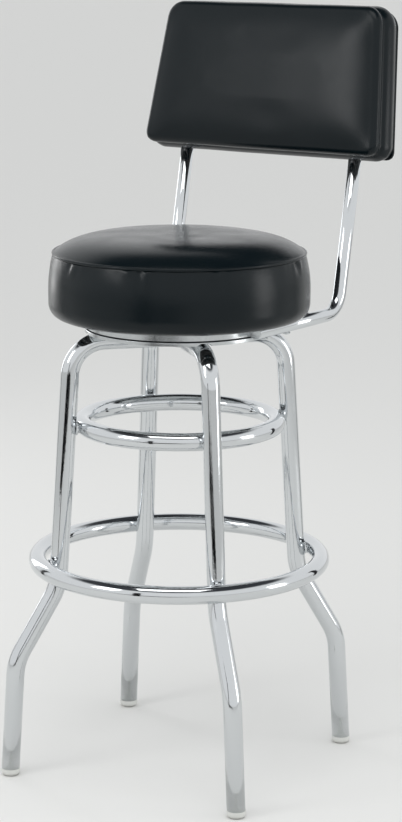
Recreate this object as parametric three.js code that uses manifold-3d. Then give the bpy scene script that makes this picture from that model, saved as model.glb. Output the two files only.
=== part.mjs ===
// A diner counter stool: a round padded seat and a padded back on two bent posts,
// turning on a ball bearing over a four legged base of bent tube with two rings.
// Millimetres, +Z up, the front of the seat towards -Y, left and right as seen from there.

import * as THREE from 'three';
import { mergeVertices } from 'three/addons/utils/BufferGeometryUtils.js';
import Module from 'manifold-3d';

const wasm = await Module();
wasm.setup();

// Clearances
const fitGap = 0.3;
const overrun = 2;

// Tube sizes
const legTube = 25.4;
const legWall = 1.6;
const ringTube = 25;
const ringWall = 1.5;
const postTube = 19;
const postWall = 1.5;

// The base, with radii from the swivel axis to the middle of the tube
const footRadius = 246.9;
const kneeRadius = 236.8;
const kneeHeight = 164.5;
const shoulderRadius = 175.5;
const shoulderHeight = 268.8;
const archRadius = 153.1;
const archHeight = 613;
const kneeBend = 80;
const archBend = 48;
const upperRingHeight = 493.4;
const footRingHeight = 298.4;
const ringVent = 4;
const glideHeight = 10;
const glideRound = 5;
const glideLip = 0.5;
const glideStem = 22;

// How the base stands under the seat, in degrees
const baseTurn = 51.65;
const crossSkew = -0.85;
const crossTwist = 2.9;

// The swivel
const plateRadius = 131;
const plateSheet = 2;
const plateRim = 5.5;
const ballRadius = 3.2;
const ballCount = 10;
const ballCircle = 42;
const raceWidth = 16;
const raceWeb = 1.5;
const raceLand = 1.2;
const cageWidth = 26;
const cageSheet = 1.6;
const topPlateRadius = 129;
const topPlateGap = 1;
const topPlateSheet = 2.5;
const topPlateWell = 54;
const topPlateSlope = 8;
const topPlateDepth = 7.9;
const pinRadius = 6;
const pinCollarRadius = 12;
const pinCollar = 2.5;
const washerRadius = 12;
const washerSheet = 1.2;
const nutAcross = 19;
const nutHeight = 3.2;
const plateScrewCircle = 70;
const plateScrewShank = 2;
const plateScrewHead = 4.2;
const plateScrewHeadHeight = 2;
const plateScrewDepth = 9;
const headFlatShare = 0.7;
const headRimShare = 0.5;

// The seat
const seatBoardRadius = 165;
const seatBoardThick = 12;
const seatWidest = 180.8;
const seatWidestRise = 38;
const seatBandHeight = 89.6;
const seatEdgeRound = 18;
const seatLipRadius = 157;
const seatLipThick = 3;
const seatRimDrop = 4.5;
const seatCrown = 24;
const seatCrownPower = 6;
const seatWeltRadius = 173.4;
const weltCord = 2.8;

// The back's posts and their arms under the seat
const postSpacing = 288.6;
const armFront = -25;
const postLean = 11;
const postFootDepth = 181.1;
const postBend = 36;
const postLength = 382;
const armBoltFront = -5;
const armBoltPitch = 55;
const armBoltShank = 3;
const armBoltHead = 5.2;
const armBoltHeadHeight = 3;
const teeNutBarrel = 4.6;
const teeNutFlange = 9.5;
const teeNutSheet = 1.5;
const teeNutLength = 10;
const armPlugHead = 2;
const armPlugStem = 12;

// The padded back, with heights measured up the lean of the posts from their foot
const backBottom = 219;
const backHeight = 208;
const backBottomWidth = 399;
const backTopWidth = 359;
const backBottomRound = 12;
const backTopRound = 24;
const backFrontDepth = 40;
const backFrontCrown = 6;
const backFrontRound = 10;
const backCrownInset = 55;
const backBoardThick = 9.5;
const backWall = 14;
const backSeamDepth = 13;
const backRearDepth = 22;
const backRearCrown = 4;
const backRearRound = 6;
const backSeamDraw = 1.6;
const backFold = 2.4;
const backFoldDepth = -22;
const backWeltCord = 2.4;
const backScrewLow = 55;
const backScrewPitch = 70;
const backScrewShank = 2;
const backScrewHead = 4.5;
const backScrewHeadHeight = 2.4;
const backScrewDepth = 7;

// How finely round shapes are stepped
const tubeSides = 12;
const boreSides = 8;
const bendSteps = 3;
const archSteps = 6;
const ringSteps = 36;
const discSteps = 24;
const seatSteps = 40;
const cordSides = 6;
const screwSides = 8;
const ballSides = 8;
const raceSteps = 32;
const grooveSteps = 4;
const cornerSteps = 5;

// Values worked out from those above
const legRadius = legTube / 2;
const ringRadius = ringTube / 2;
const postRadius = postTube / 2;
const archTop = archHeight + legRadius;
const plateTop = archTop + fitGap + plateSheet;
const ballMiddle = plateTop + fitGap + raceWeb + fitGap + ballRadius;
const topPlateLow = ballMiddle + ballRadius + fitGap + raceWeb + fitGap;
const topPlateHigh = topPlateLow + topPlateDepth;
const seatBoardBottom = topPlateHigh + fitGap;
const seatBoardTop = seatBoardBottom + seatBoardThick;
const teeNutTop = seatBoardTop + fitGap + teeNutSheet;
const armTop = seatBoardBottom - fitGap;
const armHeight = armTop - postRadius;
const seatLipTop = seatBoardBottom - fitGap;
const seatBottomHeight = seatLipTop - seatRimDrop;
const seatWidestHeight = seatBottomHeight + seatWidestRise;
const seatWeltHeight = seatBottomHeight + seatBandHeight;
const lean = THREE.MathUtils.degToRad(postLean);

const chrome = new THREE.MeshStandardMaterial({ color: 0xd8dadc, roughness: 0.08, metalness: 1 });
const zinc = new THREE.MeshStandardMaterial({ color: 0xb4b6b5, roughness: 0.35, metalness: 1 });
const steel = new THREE.MeshStandardMaterial({ color: 0x9a9da0, roughness: 0.25, metalness: 1 });
const vinyl = new THREE.MeshStandardMaterial({ color: 0x121416, roughness: 0.35, metalness: 0 });
const plywood = new THREE.MeshStandardMaterial({ color: 0xb98f5d, roughness: 0.7, metalness: 0 });
const palePlastic = new THREE.MeshStandardMaterial({ color: 0xd9dad6, roughness: 0.4, metalness: 0 });

const stool = new THREE.Group();

function addPiece(name, geometry, material, parent = stool) {
  const mesh = new THREE.Mesh(closed(geometry), material);
  mesh.name = name;
  parent.add(mesh);
  return mesh;
}

// Shared vertices are merged and triangles without area are left out.
function closed(geometry) {
  const bare = geometry.clone();
  bare.deleteAttribute('normal');
  bare.deleteAttribute('uv');
  const merged = mergeVertices(bare);
  const indices = Array.from(merged.index.array);
  const kept = [];
  for (let i = 0; i < indices.length; i += 3) {
    const [a, b, c] = indices.slice(i, i + 3);
    if (a !== b && b !== c && c !== a) {
      kept.push(a, b, c);
    }
  }
  merged.setIndex(kept);
  merged.computeVertexNormals();
  return merged;
}

function toSolid(geometry) {
  const tidy = closed(geometry);
  const vertProperties = new Float32Array(tidy.attributes.position.array);
  const triVerts = new Uint32Array(tidy.index.array);
  return new wasm.Manifold(new wasm.Mesh({ numProp: 3, vertProperties, triVerts }));
}

function toGeometry(solid) {
  const mesh = solid.getMesh();
  const geometry = new THREE.BufferGeometry();
  geometry.setAttribute('position', new THREE.BufferAttribute(new Float32Array(mesh.vertProperties), 3));
  geometry.setIndex(new THREE.BufferAttribute(new Uint32Array(mesh.triVerts), 1));
  return geometry;
}

function cutAway(geometry, cutters) {
  let solid = toSolid(geometry);
  for (const cutter of cutters) {
    solid = solid.subtract(toSolid(cutter));
  }
  return toGeometry(solid);
}

function joinAll(geometries) {
  let solid = toSolid(geometries[0]);
  for (const extra of geometries.slice(1)) {
    solid = solid.add(toSolid(extra));
  }
  return toGeometry(solid);
}

// A route of straight runs with a round bend at each corner. It has a station
// only where its direction changes, so a straight run stays one long step.
class BentRoute extends THREE.Curve {
  constructor(corners, bends, steps) {
    super();
    this.stations = [];
    const last = corners.length - 1;
    const direction = (i) => corners[i + 1].clone().sub(corners[i]).normalize();
    this.stations.push({ point: corners[0].clone(), tangent: direction(0) });
    for (let i = 1; i < last; i += 1) {
      this.addBend(corners[i], direction(i - 1), direction(i), bends[i - 1], steps[i - 1]);
    }
    this.stations.push({ point: corners[last].clone(), tangent: direction(last - 1) });
  }

  addBend(corner, before, after, radius, steps) {
    const angle = before.angleTo(after);
    const reach = radius * Math.tan(angle / 2);
    const start = corner.clone().addScaledVector(before, -reach);
    const across = after.clone().addScaledVector(before, -after.dot(before)).normalize();
    for (let step = 0; step <= steps; step += 1) {
      const turn = angle * (step / steps);
      const point = start.clone();
      point.addScaledVector(before, radius * Math.sin(turn));
      point.addScaledVector(across, radius * (1 - Math.cos(turn)));
      const tangent = before.clone().multiplyScalar(Math.cos(turn));
      tangent.addScaledVector(across, Math.sin(turn));
      this.stations.push({ point, tangent });
    }
  }

  // The named end is cut level with the floor.
  levelEnd(index) {
    const station = this.stations.at(index);
    station.tangent.set(0, 0, Math.sign(station.tangent.z));
    return this;
  }

  station(share) {
    return this.stations[Math.round(share * (this.stations.length - 1))];
  }

  getPointAt(share, target = new THREE.Vector3()) {
    return target.copy(this.station(share).point);
  }

  getTangentAt(share, target = new THREE.Vector3()) {
    return target.copy(this.station(share).tangent);
  }
}

function circleShape(radius, sides) {
  const points = [];
  for (let i = 0; i < sides; i += 1) {
    const angle = (2 * Math.PI * i) / sides;
    points.push(new THREE.Vector2(radius * Math.cos(angle), radius * Math.sin(angle)));
  }
  return points;
}

function rodAlong(route, radius) {
  const steps = route.stations.length - 1;
  const shape = new THREE.Shape(circleShape(radius, tubeSides));
  return new THREE.ExtrudeGeometry(shape, { steps, extrudePath: route });
}

// A cutter that clears a round tube along its route: its flats lie on the circle.
function wayAlong(route, radius) {
  return rodAlong(route, radius / Math.cos(Math.PI / tubeSides));
}

// The largest round stem that slides into a tube's stepped bore.
function stemRadiusIn(boreRadius) {
  return boreRadius * Math.cos(Math.PI / boreSides) - fitGap;
}

function tubeAlong(route, radius, wall) {
  const steps = route.stations.length - 1;
  const shape = new THREE.Shape(circleShape(radius, tubeSides));
  shape.holes.push(new THREE.Path(circleShape(radius - wall, boreSides).reverse()));
  return new THREE.ExtrudeGeometry(shape, { steps, extrudePath: route });
}

// A solid turned about the upright axis, from [radius, height] pairs that run
// round its section with the material on their left.
function turned(profile, segments) {
  const points = profile.map(([radius, height]) => new THREE.Vector2(radius, height));
  const geometry = new THREE.LatheGeometry(points, segments);
  geometry.rotateX(Math.PI / 2);
  return geometry;
}

function closedTurned(profile, segments) {
  return turned([...profile, profile[0]], segments);
}

// An upright round bar between two heights.
function uprightBar(radius, low, high, sides) {
  return turned([[0, low], [radius, low], [radius, high], [0, high]], sides);
}

function movedTo(geometry, x, y, z = 0) {
  return geometry.translate(x, y, z);
}

function around(count, radius, firstAngle = 0) {
  const places = [];
  for (let i = 0; i < count; i += 1) {
    const angle = firstAngle + (2 * Math.PI * i) / count;
    places.push(new THREE.Vector2(radius * Math.cos(angle), radius * Math.sin(angle)));
  }
  return places;
}

// The legs

function share(value, from, to) {
  return (value - from) / (to - from);
}

function shinRadiusAt(height) {
  return THREE.MathUtils.lerp(footRadius, kneeRadius, share(height, 0, kneeHeight));
}

function legRadiusAt(height) {
  const along = share(height, shoulderHeight, archHeight);
  return THREE.MathUtils.lerp(shoulderRadius, archRadius, along);
}

function archAngle() {
  return THREE.MathUtils.degToRad(baseTurn);
}

function crossAngle(height) {
  const twist = crossTwist * (1 - height / archHeight);
  return THREE.MathUtils.degToRad(baseTurn + crossSkew + twist);
}

function basePoint(radius, angle, height) {
  return new THREE.Vector3(radius * Math.cos(angle), radius * Math.sin(angle), height);
}

// The corners of one leg, from its foot to the corner under the seat.
function legCorners(angleAt) {
  const footEnd = glideHeight + fitGap;
  return [
    basePoint(shinRadiusAt(footEnd), angleAt(footEnd), footEnd),
    basePoint(kneeRadius, angleAt(kneeHeight), kneeHeight),
    basePoint(shoulderRadius, angleAt(shoulderHeight), shoulderHeight),
    basePoint(archRadius, angleAt(archHeight), archHeight),
  ];
}

const legBends = [kneeBend, kneeBend, archBend];
const legBendSteps = [bendSteps, bendSteps, archSteps];

function archRoute() {
  const oneLeg = legCorners(archAngle);
  const otherLeg = legCorners(() => archAngle() + Math.PI);
  const corners = [...oneLeg, ...otherLeg.reverse()];
  const bends = [...legBends, ...legBends.toReversed()];
  const steps = [...legBendSteps, ...legBendSteps.toReversed()];
  return new BentRoute(corners, bends, steps).levelEnd(0).levelEnd(-1);
}

function crossRoute(side) {
  const angleAt = (height) => crossAngle(height) + side * (Math.PI / 2);
  const start = basePoint(fitGap, angleAt(archHeight), archHeight);
  const corners = [...legCorners(angleAt), start];
  return new BentRoute(corners, legBends, legBendSteps).levelEnd(0);
}

function makeLegArch() {
  return tubeAlong(archRoute(), legRadius, legWall);
}

// The front and rear legs are coped where they meet the side of the arch.
function makeCrossLeg(side) {
  const tube = tubeAlong(crossRoute(side), legRadius, legWall);
  const cope = wayAlong(archRoute(), legRadius + fitGap);
  return cutAway(tube, [cope]);
}

addPiece('leg_arch', makeLegArch(), chrome);
addPiece('leg_front_right', makeCrossLeg(-1), chrome);
addPiece('leg_rear_left', makeCrossLeg(1), chrome);

// The rings: the upper one is welded inside the legs, the foot ring outside them

function legSlope() {
  return Math.atan((shoulderRadius - archRadius) / (archHeight - shoulderHeight));
}

function makeRing(height, side) {
  const reach = (legRadius + ringRadius + fitGap) / Math.cos(legSlope());
  const middle = legRadiusAt(height) + side * reach;
  const outside = new THREE.TorusGeometry(middle, ringRadius, tubeSides, ringSteps);
  const inside = new THREE.TorusGeometry(middle, ringRadius - ringWall, boreSides, ringSteps);
  const vent = uprightBar(ringVent / 2, -ringRadius - overrun, 0, screwSides);
  const ventSide = Math.PI / 4;
  movedTo(vent, middle * Math.cos(ventSide), middle * Math.sin(ventSide));
  const ring = cutAway(outside, [inside, vent]);
  ring.rotateZ(archAngle());
  return movedTo(ring, 0, 0, height);
}

addPiece('upper_ring', makeRing(upperRingHeight, -1), chrome);
addPiece('foot_ring', makeRing(footRingHeight, 1), chrome);

// The glides: a stem pressed into the leaning tube and a rounded shoe under it

function makeGlide(angle) {
  const shoe = legRadius + glideLip;
  const profile = [[0, 0]];
  for (let step = 0; step <= bendSteps; step += 1) {
    const turn = (Math.PI / 2) * (step / bendSteps);
    const out = shoe - glideRound + glideRound * Math.sin(turn);
    profile.push([out, glideRound - glideRound * Math.cos(turn)]);
  }
  profile.push([shoe, glideHeight], [0, glideHeight]);
  const place = basePoint(shinRadiusAt(glideHeight + fitGap), angle, 0);
  const body = movedTo(turned(profile, tubeSides), place.x, place.y);
  const low = basePoint(shinRadiusAt(glideRound), angle, glideRound);
  const high = basePoint(shinRadiusAt(glideStem), angle, glideStem);
  const stem = rodAlong(new BentRoute([low, high], [], []), stemRadiusIn(legRadius - legWall));
  return joinAll([body, stem]);
}

addPiece('glide_rear_right', makeGlide(archAngle()), palePlastic);
addPiece('glide_front_left', makeGlide(archAngle() + Math.PI), palePlastic);
addPiece('glide_front_right', makeGlide(crossAngle(0) - Math.PI / 2), palePlastic);
addPiece('glide_rear_left', makeGlide(crossAngle(0) + Math.PI / 2), palePlastic);

// The swivel's lower plate: a round pressed pan that sits on the crossing of the tubes,
// with its rim notched to fit over them

function makeLowerPlate() {
  const rimLow = plateTop - plateRim;
  const rimInside = plateRadius - plateSheet;
  const under = plateTop - plateSheet;
  const profile = [[0, under], [rimInside, under], [rimInside, rimLow], [plateRadius, rimLow]];
  profile.push([plateRadius, plateTop], [0, plateTop]);
  const pan = turned(profile, seatSteps);
  const tubes = [archRoute(), crossRoute(-1), crossRoute(1)];
  const notches = tubes.map((route) => wayAlong(route, legRadius + fitGap));
  return cutAway(pan, notches);
}

addPiece('swivel_lower_plate', makeLowerPlate(), zinc);

// The races: each has a round groove that holds its half of the balls. The steps
// of the groove go round the outside of its circle, so that they clear the balls.

function grooveArc(side) {
  const half = Math.acos(raceLand / (ballRadius + fitGap));
  const groove = (ballRadius + fitGap) / Math.cos(half / grooveSteps);
  const points = [];
  for (let step = 0; step <= grooveSteps; step += 1) {
    const angle = half - 2 * half * (step / grooveSteps);
    const radius = ballCircle + groove * Math.sin(angle);
    points.push([radius, ballMiddle + side * groove * Math.cos(angle)]);
  }
  return points;
}

function makeRace(side) {
  const back = ballMiddle + side * (ballRadius + fitGap + raceWeb);
  const face = ballMiddle + side * raceLand;
  const inner = ballCircle - raceWidth / 2;
  const outer = ballCircle + raceWidth / 2;
  const profile = [[inner, back], [outer, back], [outer, face], ...grooveArc(side), [inner, face]];
  if (side > 0) {
    profile.reverse();
  }
  return closedTurned(profile, raceSteps);
}

addPiece('lower_race', makeRace(-1), steel);
addPiece('upper_race', makeRace(1), steel);

// The cage keeps the balls apart

function makeCage() {
  const low = ballMiddle - cageSheet / 2;
  const high = ballMiddle + cageSheet / 2;
  const inner = ballCircle - cageWidth / 2;
  const outer = ballCircle + cageWidth / 2;
  const ring = closedTurned([[inner, low], [outer, low], [outer, high], [inner, high]], discSteps);
  const pockets = around(ballCount, ballCircle).map((place) => {
    const pocket = uprightBar(ballRadius + fitGap, low - overrun, high + overrun, ballSides);
    return movedTo(pocket, place.x, place.y);
  });
  return cutAway(ring, pockets);
}

addPiece('ball_cage', makeCage(), zinc);
around(ballCount, ballCircle).forEach((place, i) => {
  const ball = new THREE.SphereGeometry(ballRadius, ballSides, ballSides / 2 + 1);
  addPiece(`ball_${i + 1}`, movedTo(ball, place.x, place.y, ballMiddle), steel);
});

// The pin stands on the lower plate and holds the upper plate down

const topPlateWellTop = topPlateLow + topPlateSheet;
const washerBottom = topPlateWellTop + fitGap;
const nutBottom = washerBottom + washerSheet + fitGap;

function makePin() {
  const foot = plateTop + fitGap;
  const collarTop = foot + pinCollar;
  const pinTop = nutBottom + nutHeight;
  const profile = [[0, foot], [pinCollarRadius, foot], [pinCollarRadius, collarTop]];
  profile.push([pinRadius, collarTop], [pinRadius, pinTop], [0, pinTop]);
  return turned(profile, tubeSides);
}

function ringBetween(inner, outer, low, high, segments) {
  return closedTurned([[inner, low], [outer, low], [outer, high], [inner, high]], segments);
}

function makeNut() {
  const hexagon = new THREE.Shape(circleShape(nutAcross / Math.sqrt(3), 6));
  hexagon.holes.push(new THREE.Path(circleShape(pinRadius + fitGap, tubeSides).reverse()));
  const nut = new THREE.ExtrudeGeometry(hexagon, { depth: nutHeight, bevelEnabled: false });
  return movedTo(nut, 0, 0, nutBottom);
}

function makeWasher() {
  const hole = pinRadius + fitGap;
  return ringBetween(hole, washerRadius, washerBottom, washerBottom + washerSheet, tubeSides);
}

addPiece('swivel_pin', makePin(), steel);
addPiece('pin_washer', makeWasher(), zinc);
addPiece('pin_nut', makeNut(), zinc);

// The swivel's upper plate: a round pan with a well pressed down in its middle, screwed
// up into the seat board. Its rim turns just over the lower plate.

const topPlateFlangeLow = topPlateHigh - topPlateSheet;

function plateScrewPlaces() {
  return around(4, plateScrewCircle, Math.PI / 4);
}

function makeUpperPlate() {
  const rimLow = plateTop + topPlateGap;
  const rimInside = topPlateRadius - topPlateSheet;
  const flange = topPlateWell + topPlateSlope;
  const wellFloor = topPlateWell - topPlateSheet / 2;
  const wellMouth = flange - topPlateSheet / 2;
  const bore = pinRadius + fitGap;
  const profile = [[bore, topPlateLow], [topPlateWell, topPlateLow], [flange, topPlateFlangeLow]];
  profile.push([rimInside, topPlateFlangeLow], [rimInside, rimLow], [topPlateRadius, rimLow]);
  profile.push([topPlateRadius, topPlateHigh], [wellMouth, topPlateHigh]);
  profile.push([wellFloor, topPlateWellTop], [bore, topPlateWellTop]);
  const screwHoles = plateScrewPlaces().map((place) => {
    const radius = plateScrewShank + fitGap;
    const bar = uprightBar(radius, topPlateFlangeLow - overrun, topPlateHigh + overrun, screwSides);
    return movedTo(bar, place.x, place.y);
  });
  return cutAway(closedTurned(profile, seatSteps), screwHoles);
}

function makePlateScrew() {
  const under = topPlateFlangeLow - fitGap;
  const point = seatBoardBottom + plateScrewDepth;
  const head = under - plateScrewHeadHeight;
  const rim = under - plateScrewHeadHeight * headRimShare;
  const profile = [[0, head], [plateScrewHead * headFlatShare, head], [plateScrewHead, rim]];
  profile.push([plateScrewHead, under], [plateScrewShank, under]);
  profile.push([plateScrewShank, point - plateScrewShank], [0, point]);
  return turned(profile, screwSides);
}

addPiece('swivel_upper_plate', makeUpperPlate(), zinc);
plateScrewPlaces().forEach((place, i) => {
  addPiece(`plate_screw_${i + 1}`, movedTo(makePlateScrew(), place.x, place.y), zinc);
});

// The seat board, with its holes for the arm bolts and the plate screws

function armBoltPlaces() {
  const places = [];
  for (const side of [-1, 1]) {
    for (const y of [armBoltFront, armBoltFront + armBoltPitch]) {
      places.push(new THREE.Vector2((side * postSpacing) / 2, y));
    }
  }
  return places;
}

function makeSeatBoard() {
  const board = uprightBar(seatBoardRadius, seatBoardBottom, seatBoardTop, seatSteps);
  const boltHoles = armBoltPlaces().map((place) => {
    const radius = teeNutBarrel + fitGap;
    const bar = uprightBar(radius, seatBoardBottom - overrun, seatBoardTop + overrun, boreSides);
    return movedTo(bar, place.x, place.y);
  });
  const pilotHoles = plateScrewPlaces().map((place) => {
    const radius = plateScrewShank + fitGap;
    const top = seatBoardBottom + plateScrewDepth + fitGap;
    const bar = uprightBar(radius, seatBoardBottom - overrun, top, screwSides);
    return movedTo(bar, place.x, place.y);
  });
  return cutAway(board, [...boltHoles, ...pilotHoles]);
}

addPiece('seat_board', makeSeatBoard(), plywood);

// The bolts that hold the arms, and the tee nuts let into the board

function makeArmBolt() {
  const under = armHeight - postRadius - fitGap;
  const head = under - armBoltHeadHeight;
  const tip = seatBoardTop;
  const rim = under - armBoltHeadHeight * headRimShare;
  const profile = [[0, head], [armBoltHead * headFlatShare, head], [armBoltHead, rim]];
  profile.push([armBoltHead, under], [armBoltShank, under], [armBoltShank, tip], [0, tip]);
  return turned(profile, boreSides);
}

function makeTeeNut() {
  const bore = armBoltShank + fitGap;
  const flangeLow = seatBoardTop + fitGap;
  const profile = [
    [bore, flangeLow - teeNutLength],
    [teeNutBarrel, flangeLow - teeNutLength],
    [teeNutBarrel, flangeLow],
    [teeNutFlange, flangeLow],
    [teeNutFlange, teeNutTop],
    [bore, teeNutTop],
  ];
  return closedTurned(profile, boreSides);
}

armBoltPlaces().forEach((place, i) => {
  addPiece(`arm_bolt_${i + 1}`, movedTo(makeArmBolt(), place.x, place.y), zinc);
  addPiece(`tee_nut_${i + 1}`, movedTo(makeTeeNut(), place.x, place.y), zinc);
});

// The back's posts: one bent tube each, with the arm running forward under the seat

function postDirection() {
  return new THREE.Vector3(0, Math.sin(lean), Math.cos(lean));
}

function postRoute(side) {
  const x = (side * postSpacing) / 2;
  const foot = new THREE.Vector3(x, postFootDepth, armHeight);
  const front = new THREE.Vector3(x, armFront, armHeight);
  const top = foot.clone().addScaledVector(postDirection(), postLength);
  return new BentRoute([front, foot, top], [postBend], [archSteps]);
}

// A bar across a post, square to its lean, for the screws into the back board.
function acrossPost(radius, side, alongPost, fromDepth, toDepth) {
  const bar = uprightBar(radius, fromDepth, toDepth, screwSides);
  bar.rotateX(-Math.PI / 2);
  return placedOnBack(movedTo(bar, (side * postSpacing) / 2, 0, alongPost));
}

// From the back's own frame, whose depth runs rearward and whose height runs up
// the lean of the posts, to the frame of the stool.
function placedOnBack(geometry) {
  geometry.rotateX(-lean);
  return movedTo(geometry, 0, postFootDepth, armHeight);
}

const backScrewHeights = [backBottom + backScrewLow, backBottom + backScrewLow + backScrewPitch];

function makePost(side) {
  const tube = tubeAlong(postRoute(side), postRadius, postWall);
  const boltHoles = armBoltPlaces().filter((place) => Math.sign(place.x) === side).map((place) => {
    const low = armHeight - postRadius - overrun;
    const bar = uprightBar(armBoltShank + fitGap, low, armTop + overrun, screwSides);
    return movedTo(bar, place.x, place.y);
  });
  const reach = postRadius + overrun;
  const screwHoles = backScrewHeights.map((height) => {
    return acrossPost(backScrewShank + fitGap, side, height, -reach, reach);
  });
  return cutAway(tube, [...boltHoles, ...screwHoles]);
}

function makeArmPlug(side) {
  const stem = stemRadiusIn(postRadius - postWall);
  const profile = [[0, 0], [postRadius, 0], [postRadius, armPlugHead], [stem, armPlugHead]];
  profile.push([stem, armPlugHead + armPlugStem], [0, armPlugHead + armPlugStem]);
  const plug = turned(profile, tubeSides);
  plug.rotateX(-Math.PI / 2);
  return movedTo(plug, (side * postSpacing) / 2, armFront - armPlugHead - fitGap, armHeight);
}

addPiece('post_left', makePost(-1), chrome);
addPiece('post_right', makePost(1), chrome);
addPiece('arm_plug_left', makeArmPlug(-1), zinc);
addPiece('arm_plug_right', makeArmPlug(1), zinc);

// The seat cushion: foam under a crowned top panel and a bulging band, with the
// cover turned under the rim of the board

function seatSideProfile() {
  const points = [];
  const cornerHeight = seatBottomHeight + seatEdgeRound;
  const cornerMiddle = seatWidest - seatEdgeRound;
  for (let step = 0; step <= bendSteps; step += 1) {
    const angle = (Math.PI / 2) * (step / bendSteps);
    const out = cornerMiddle + seatEdgeRound * Math.sin(angle);
    points.push([out, cornerHeight - seatEdgeRound * Math.cos(angle)]);
  }
  points.push([seatWidest, seatWidestHeight]);
  const grooveLow = weltGroovePoint(0);
  for (let step = 1; step < bendSteps; step += 1) {
    const rise = step / bendSteps;
    const drawn = (seatWidest - grooveLow[0]) * rise ** 2;
    points.push([seatWidest - drawn, THREE.MathUtils.lerp(seatWidestHeight, grooveLow[1], rise)]);
  }
  return points;
}

// The groove that the welt lies in, from its lower lip round to its upper lip.
function weltGroovePoint(along) {
  const lowLip = -Math.PI / 3;
  const highLip = (-3 * Math.PI) / 2;
  const angle = THREE.MathUtils.lerp(lowLip, highLip, along);
  const groove = weltCord + fitGap;
  const out = seatWeltRadius + groove * Math.cos(angle);
  return [out, seatWeltHeight + groove * Math.sin(angle)];
}

function seatCrownProfile() {
  const edge = seatWeltHeight + weltCord + fitGap;
  const outShares = [0.97, 0.9, 0.8, 0.66, 0.5, 0.3, 0];
  return outShares.map((outShare) => {
    const rise = seatCrown * (1 - outShare ** seatCrownPower);
    return [seatWeltRadius * outShare, edge + rise];
  });
}

function makeSeatCushion() {
  const hollow = seatBoardRadius + fitGap;
  const hollowTop = teeNutTop + fitGap;
  const profile = [[0, hollowTop], [hollow, hollowTop], [hollow, seatLipTop]];
  profile.push([seatLipRadius, seatLipTop], [seatLipRadius, seatLipTop - seatLipThick]);
  profile.push(...seatSideProfile());
  for (let step = 0; step <= cornerSteps; step += 1) {
    profile.push(weltGroovePoint(step / cornerSteps));
  }
  profile.push(...seatCrownProfile());
  const channels = [-1, 1].map((side) => {
    const x = (side * postSpacing) / 2;
    const front = new THREE.Vector3(x, armFront - armPlugHead - fitGap * 2, armHeight);
    const rear = new THREE.Vector3(x, postFootDepth, armHeight);
    return wayAlong(new BentRoute([front, rear], [], []), postRadius + fitGap);
  });
  return cutAway(turned(profile, seatSteps), channels);
}

function makeSeatWelt() {
  const ring = new THREE.TorusGeometry(seatWeltRadius, weltCord, cordSides, seatSteps);
  return movedTo(ring, 0, 0, seatWeltHeight);
}

addPiece('seat_cushion', makeSeatCushion(), vinyl);
addPiece('seat_welt', makeSeatWelt(), vinyl);

// The padded back. Its outline is a trapezium with round corners, drawn in by an
// inset, so that stacked outlines make the crowned faces and the drawn in seams.

const backTaper = Math.atan((backBottomWidth - backTopWidth) / 2 / backHeight);

function backHalfWidthAt(up) {
  return THREE.MathUtils.lerp(backBottomWidth, backTopWidth, up / backHeight) / 2;
}

function backCorner(up, inset, round, fromAngle, toAngle) {
  const middle = backHalfWidthAt(up) - (inset + round) / Math.cos(backTaper);
  const points = [];
  for (let step = 0; step <= cornerSteps; step += 1) {
    const angle = THREE.MathUtils.lerp(fromAngle, toAngle, step / cornerSteps);
    points.push([middle + round * Math.cos(angle), up + round * Math.sin(angle)]);
  }
  return points;
}

function backOutline(inset, depth) {
  const least = fitGap;
  const lowRound = Math.max(backBottomRound - inset, least);
  const highRound = Math.max(backTopRound - inset, least);
  const low = inset + lowRound;
  const high = backHeight - inset - highRound;
  const right = [
    ...backCorner(low, inset, lowRound, -Math.PI / 2, backTaper),
    ...backCorner(high, inset, highRound, backTaper, Math.PI / 2),
  ];
  const left = right.map(([x, up]) => [-x, up]).reverse();
  return [...right, ...left].map(([x, up]) => new THREE.Vector3(x, depth, backBottom + up));
}

// Stacked outlines joined into one skin, with the two ends closed by fans, or
// joined to each other where the stack runs round on itself.
function stacked(layers, runsRound = false) {
  const count = layers[0].length;
  const corners = layers.flat();
  const indices = [];
  const joins = runsRound ? layers.length : layers.length - 1;
  for (let layer = 0; layer < joins; layer += 1) {
    const next = (layer + 1) % layers.length;
    for (let i = 0; i < count; i += 1) {
      const along = (i + 1) % count;
      const [a, b] = [layer * count + i, layer * count + along];
      const [c, d] = [next * count + along, next * count + i];
      indices.push(a, b, c, a, c, d);
    }
  }
  if (!runsRound) {
    const firstMiddle = corners.push(middleOf(layers[0])) - 1;
    const lastMiddle = corners.push(middleOf(layers.at(-1))) - 1;
    const lastStart = (layers.length - 1) * count;
    for (let i = 0; i < count; i += 1) {
      const along = (i + 1) % count;
      indices.push(firstMiddle, along, i);
      indices.push(lastMiddle, lastStart + i, lastStart + along);
    }
  }
  const geometry = new THREE.BufferGeometry().setFromPoints(corners);
  geometry.setIndex(indices);
  return geometry;
}

function middleOf(points) {
  const sum = new THREE.Vector3();
  points.forEach((point) => sum.add(point));
  return sum.divideScalar(points.length);
}

const backBoardRear = -postRadius - fitGap;
const backBoardFront = backBoardRear - backBoardThick;

function makeBackBoard() {
  const inset = backWall + fitGap;
  const board = stacked([backOutline(inset, backBoardRear), backOutline(inset, backBoardFront)]);
  placedOnBack(board);
  const holes = [];
  for (const side of [-1, 1]) {
    for (const height of backScrewHeights) {
      const radius = backScrewShank + fitGap;
      const depth = backBoardRear - backScrewDepth - fitGap;
      holes.push(acrossPost(radius, side, height, depth, backBoardRear + overrun));
    }
  }
  return cutAway(board, holes);
}

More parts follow.
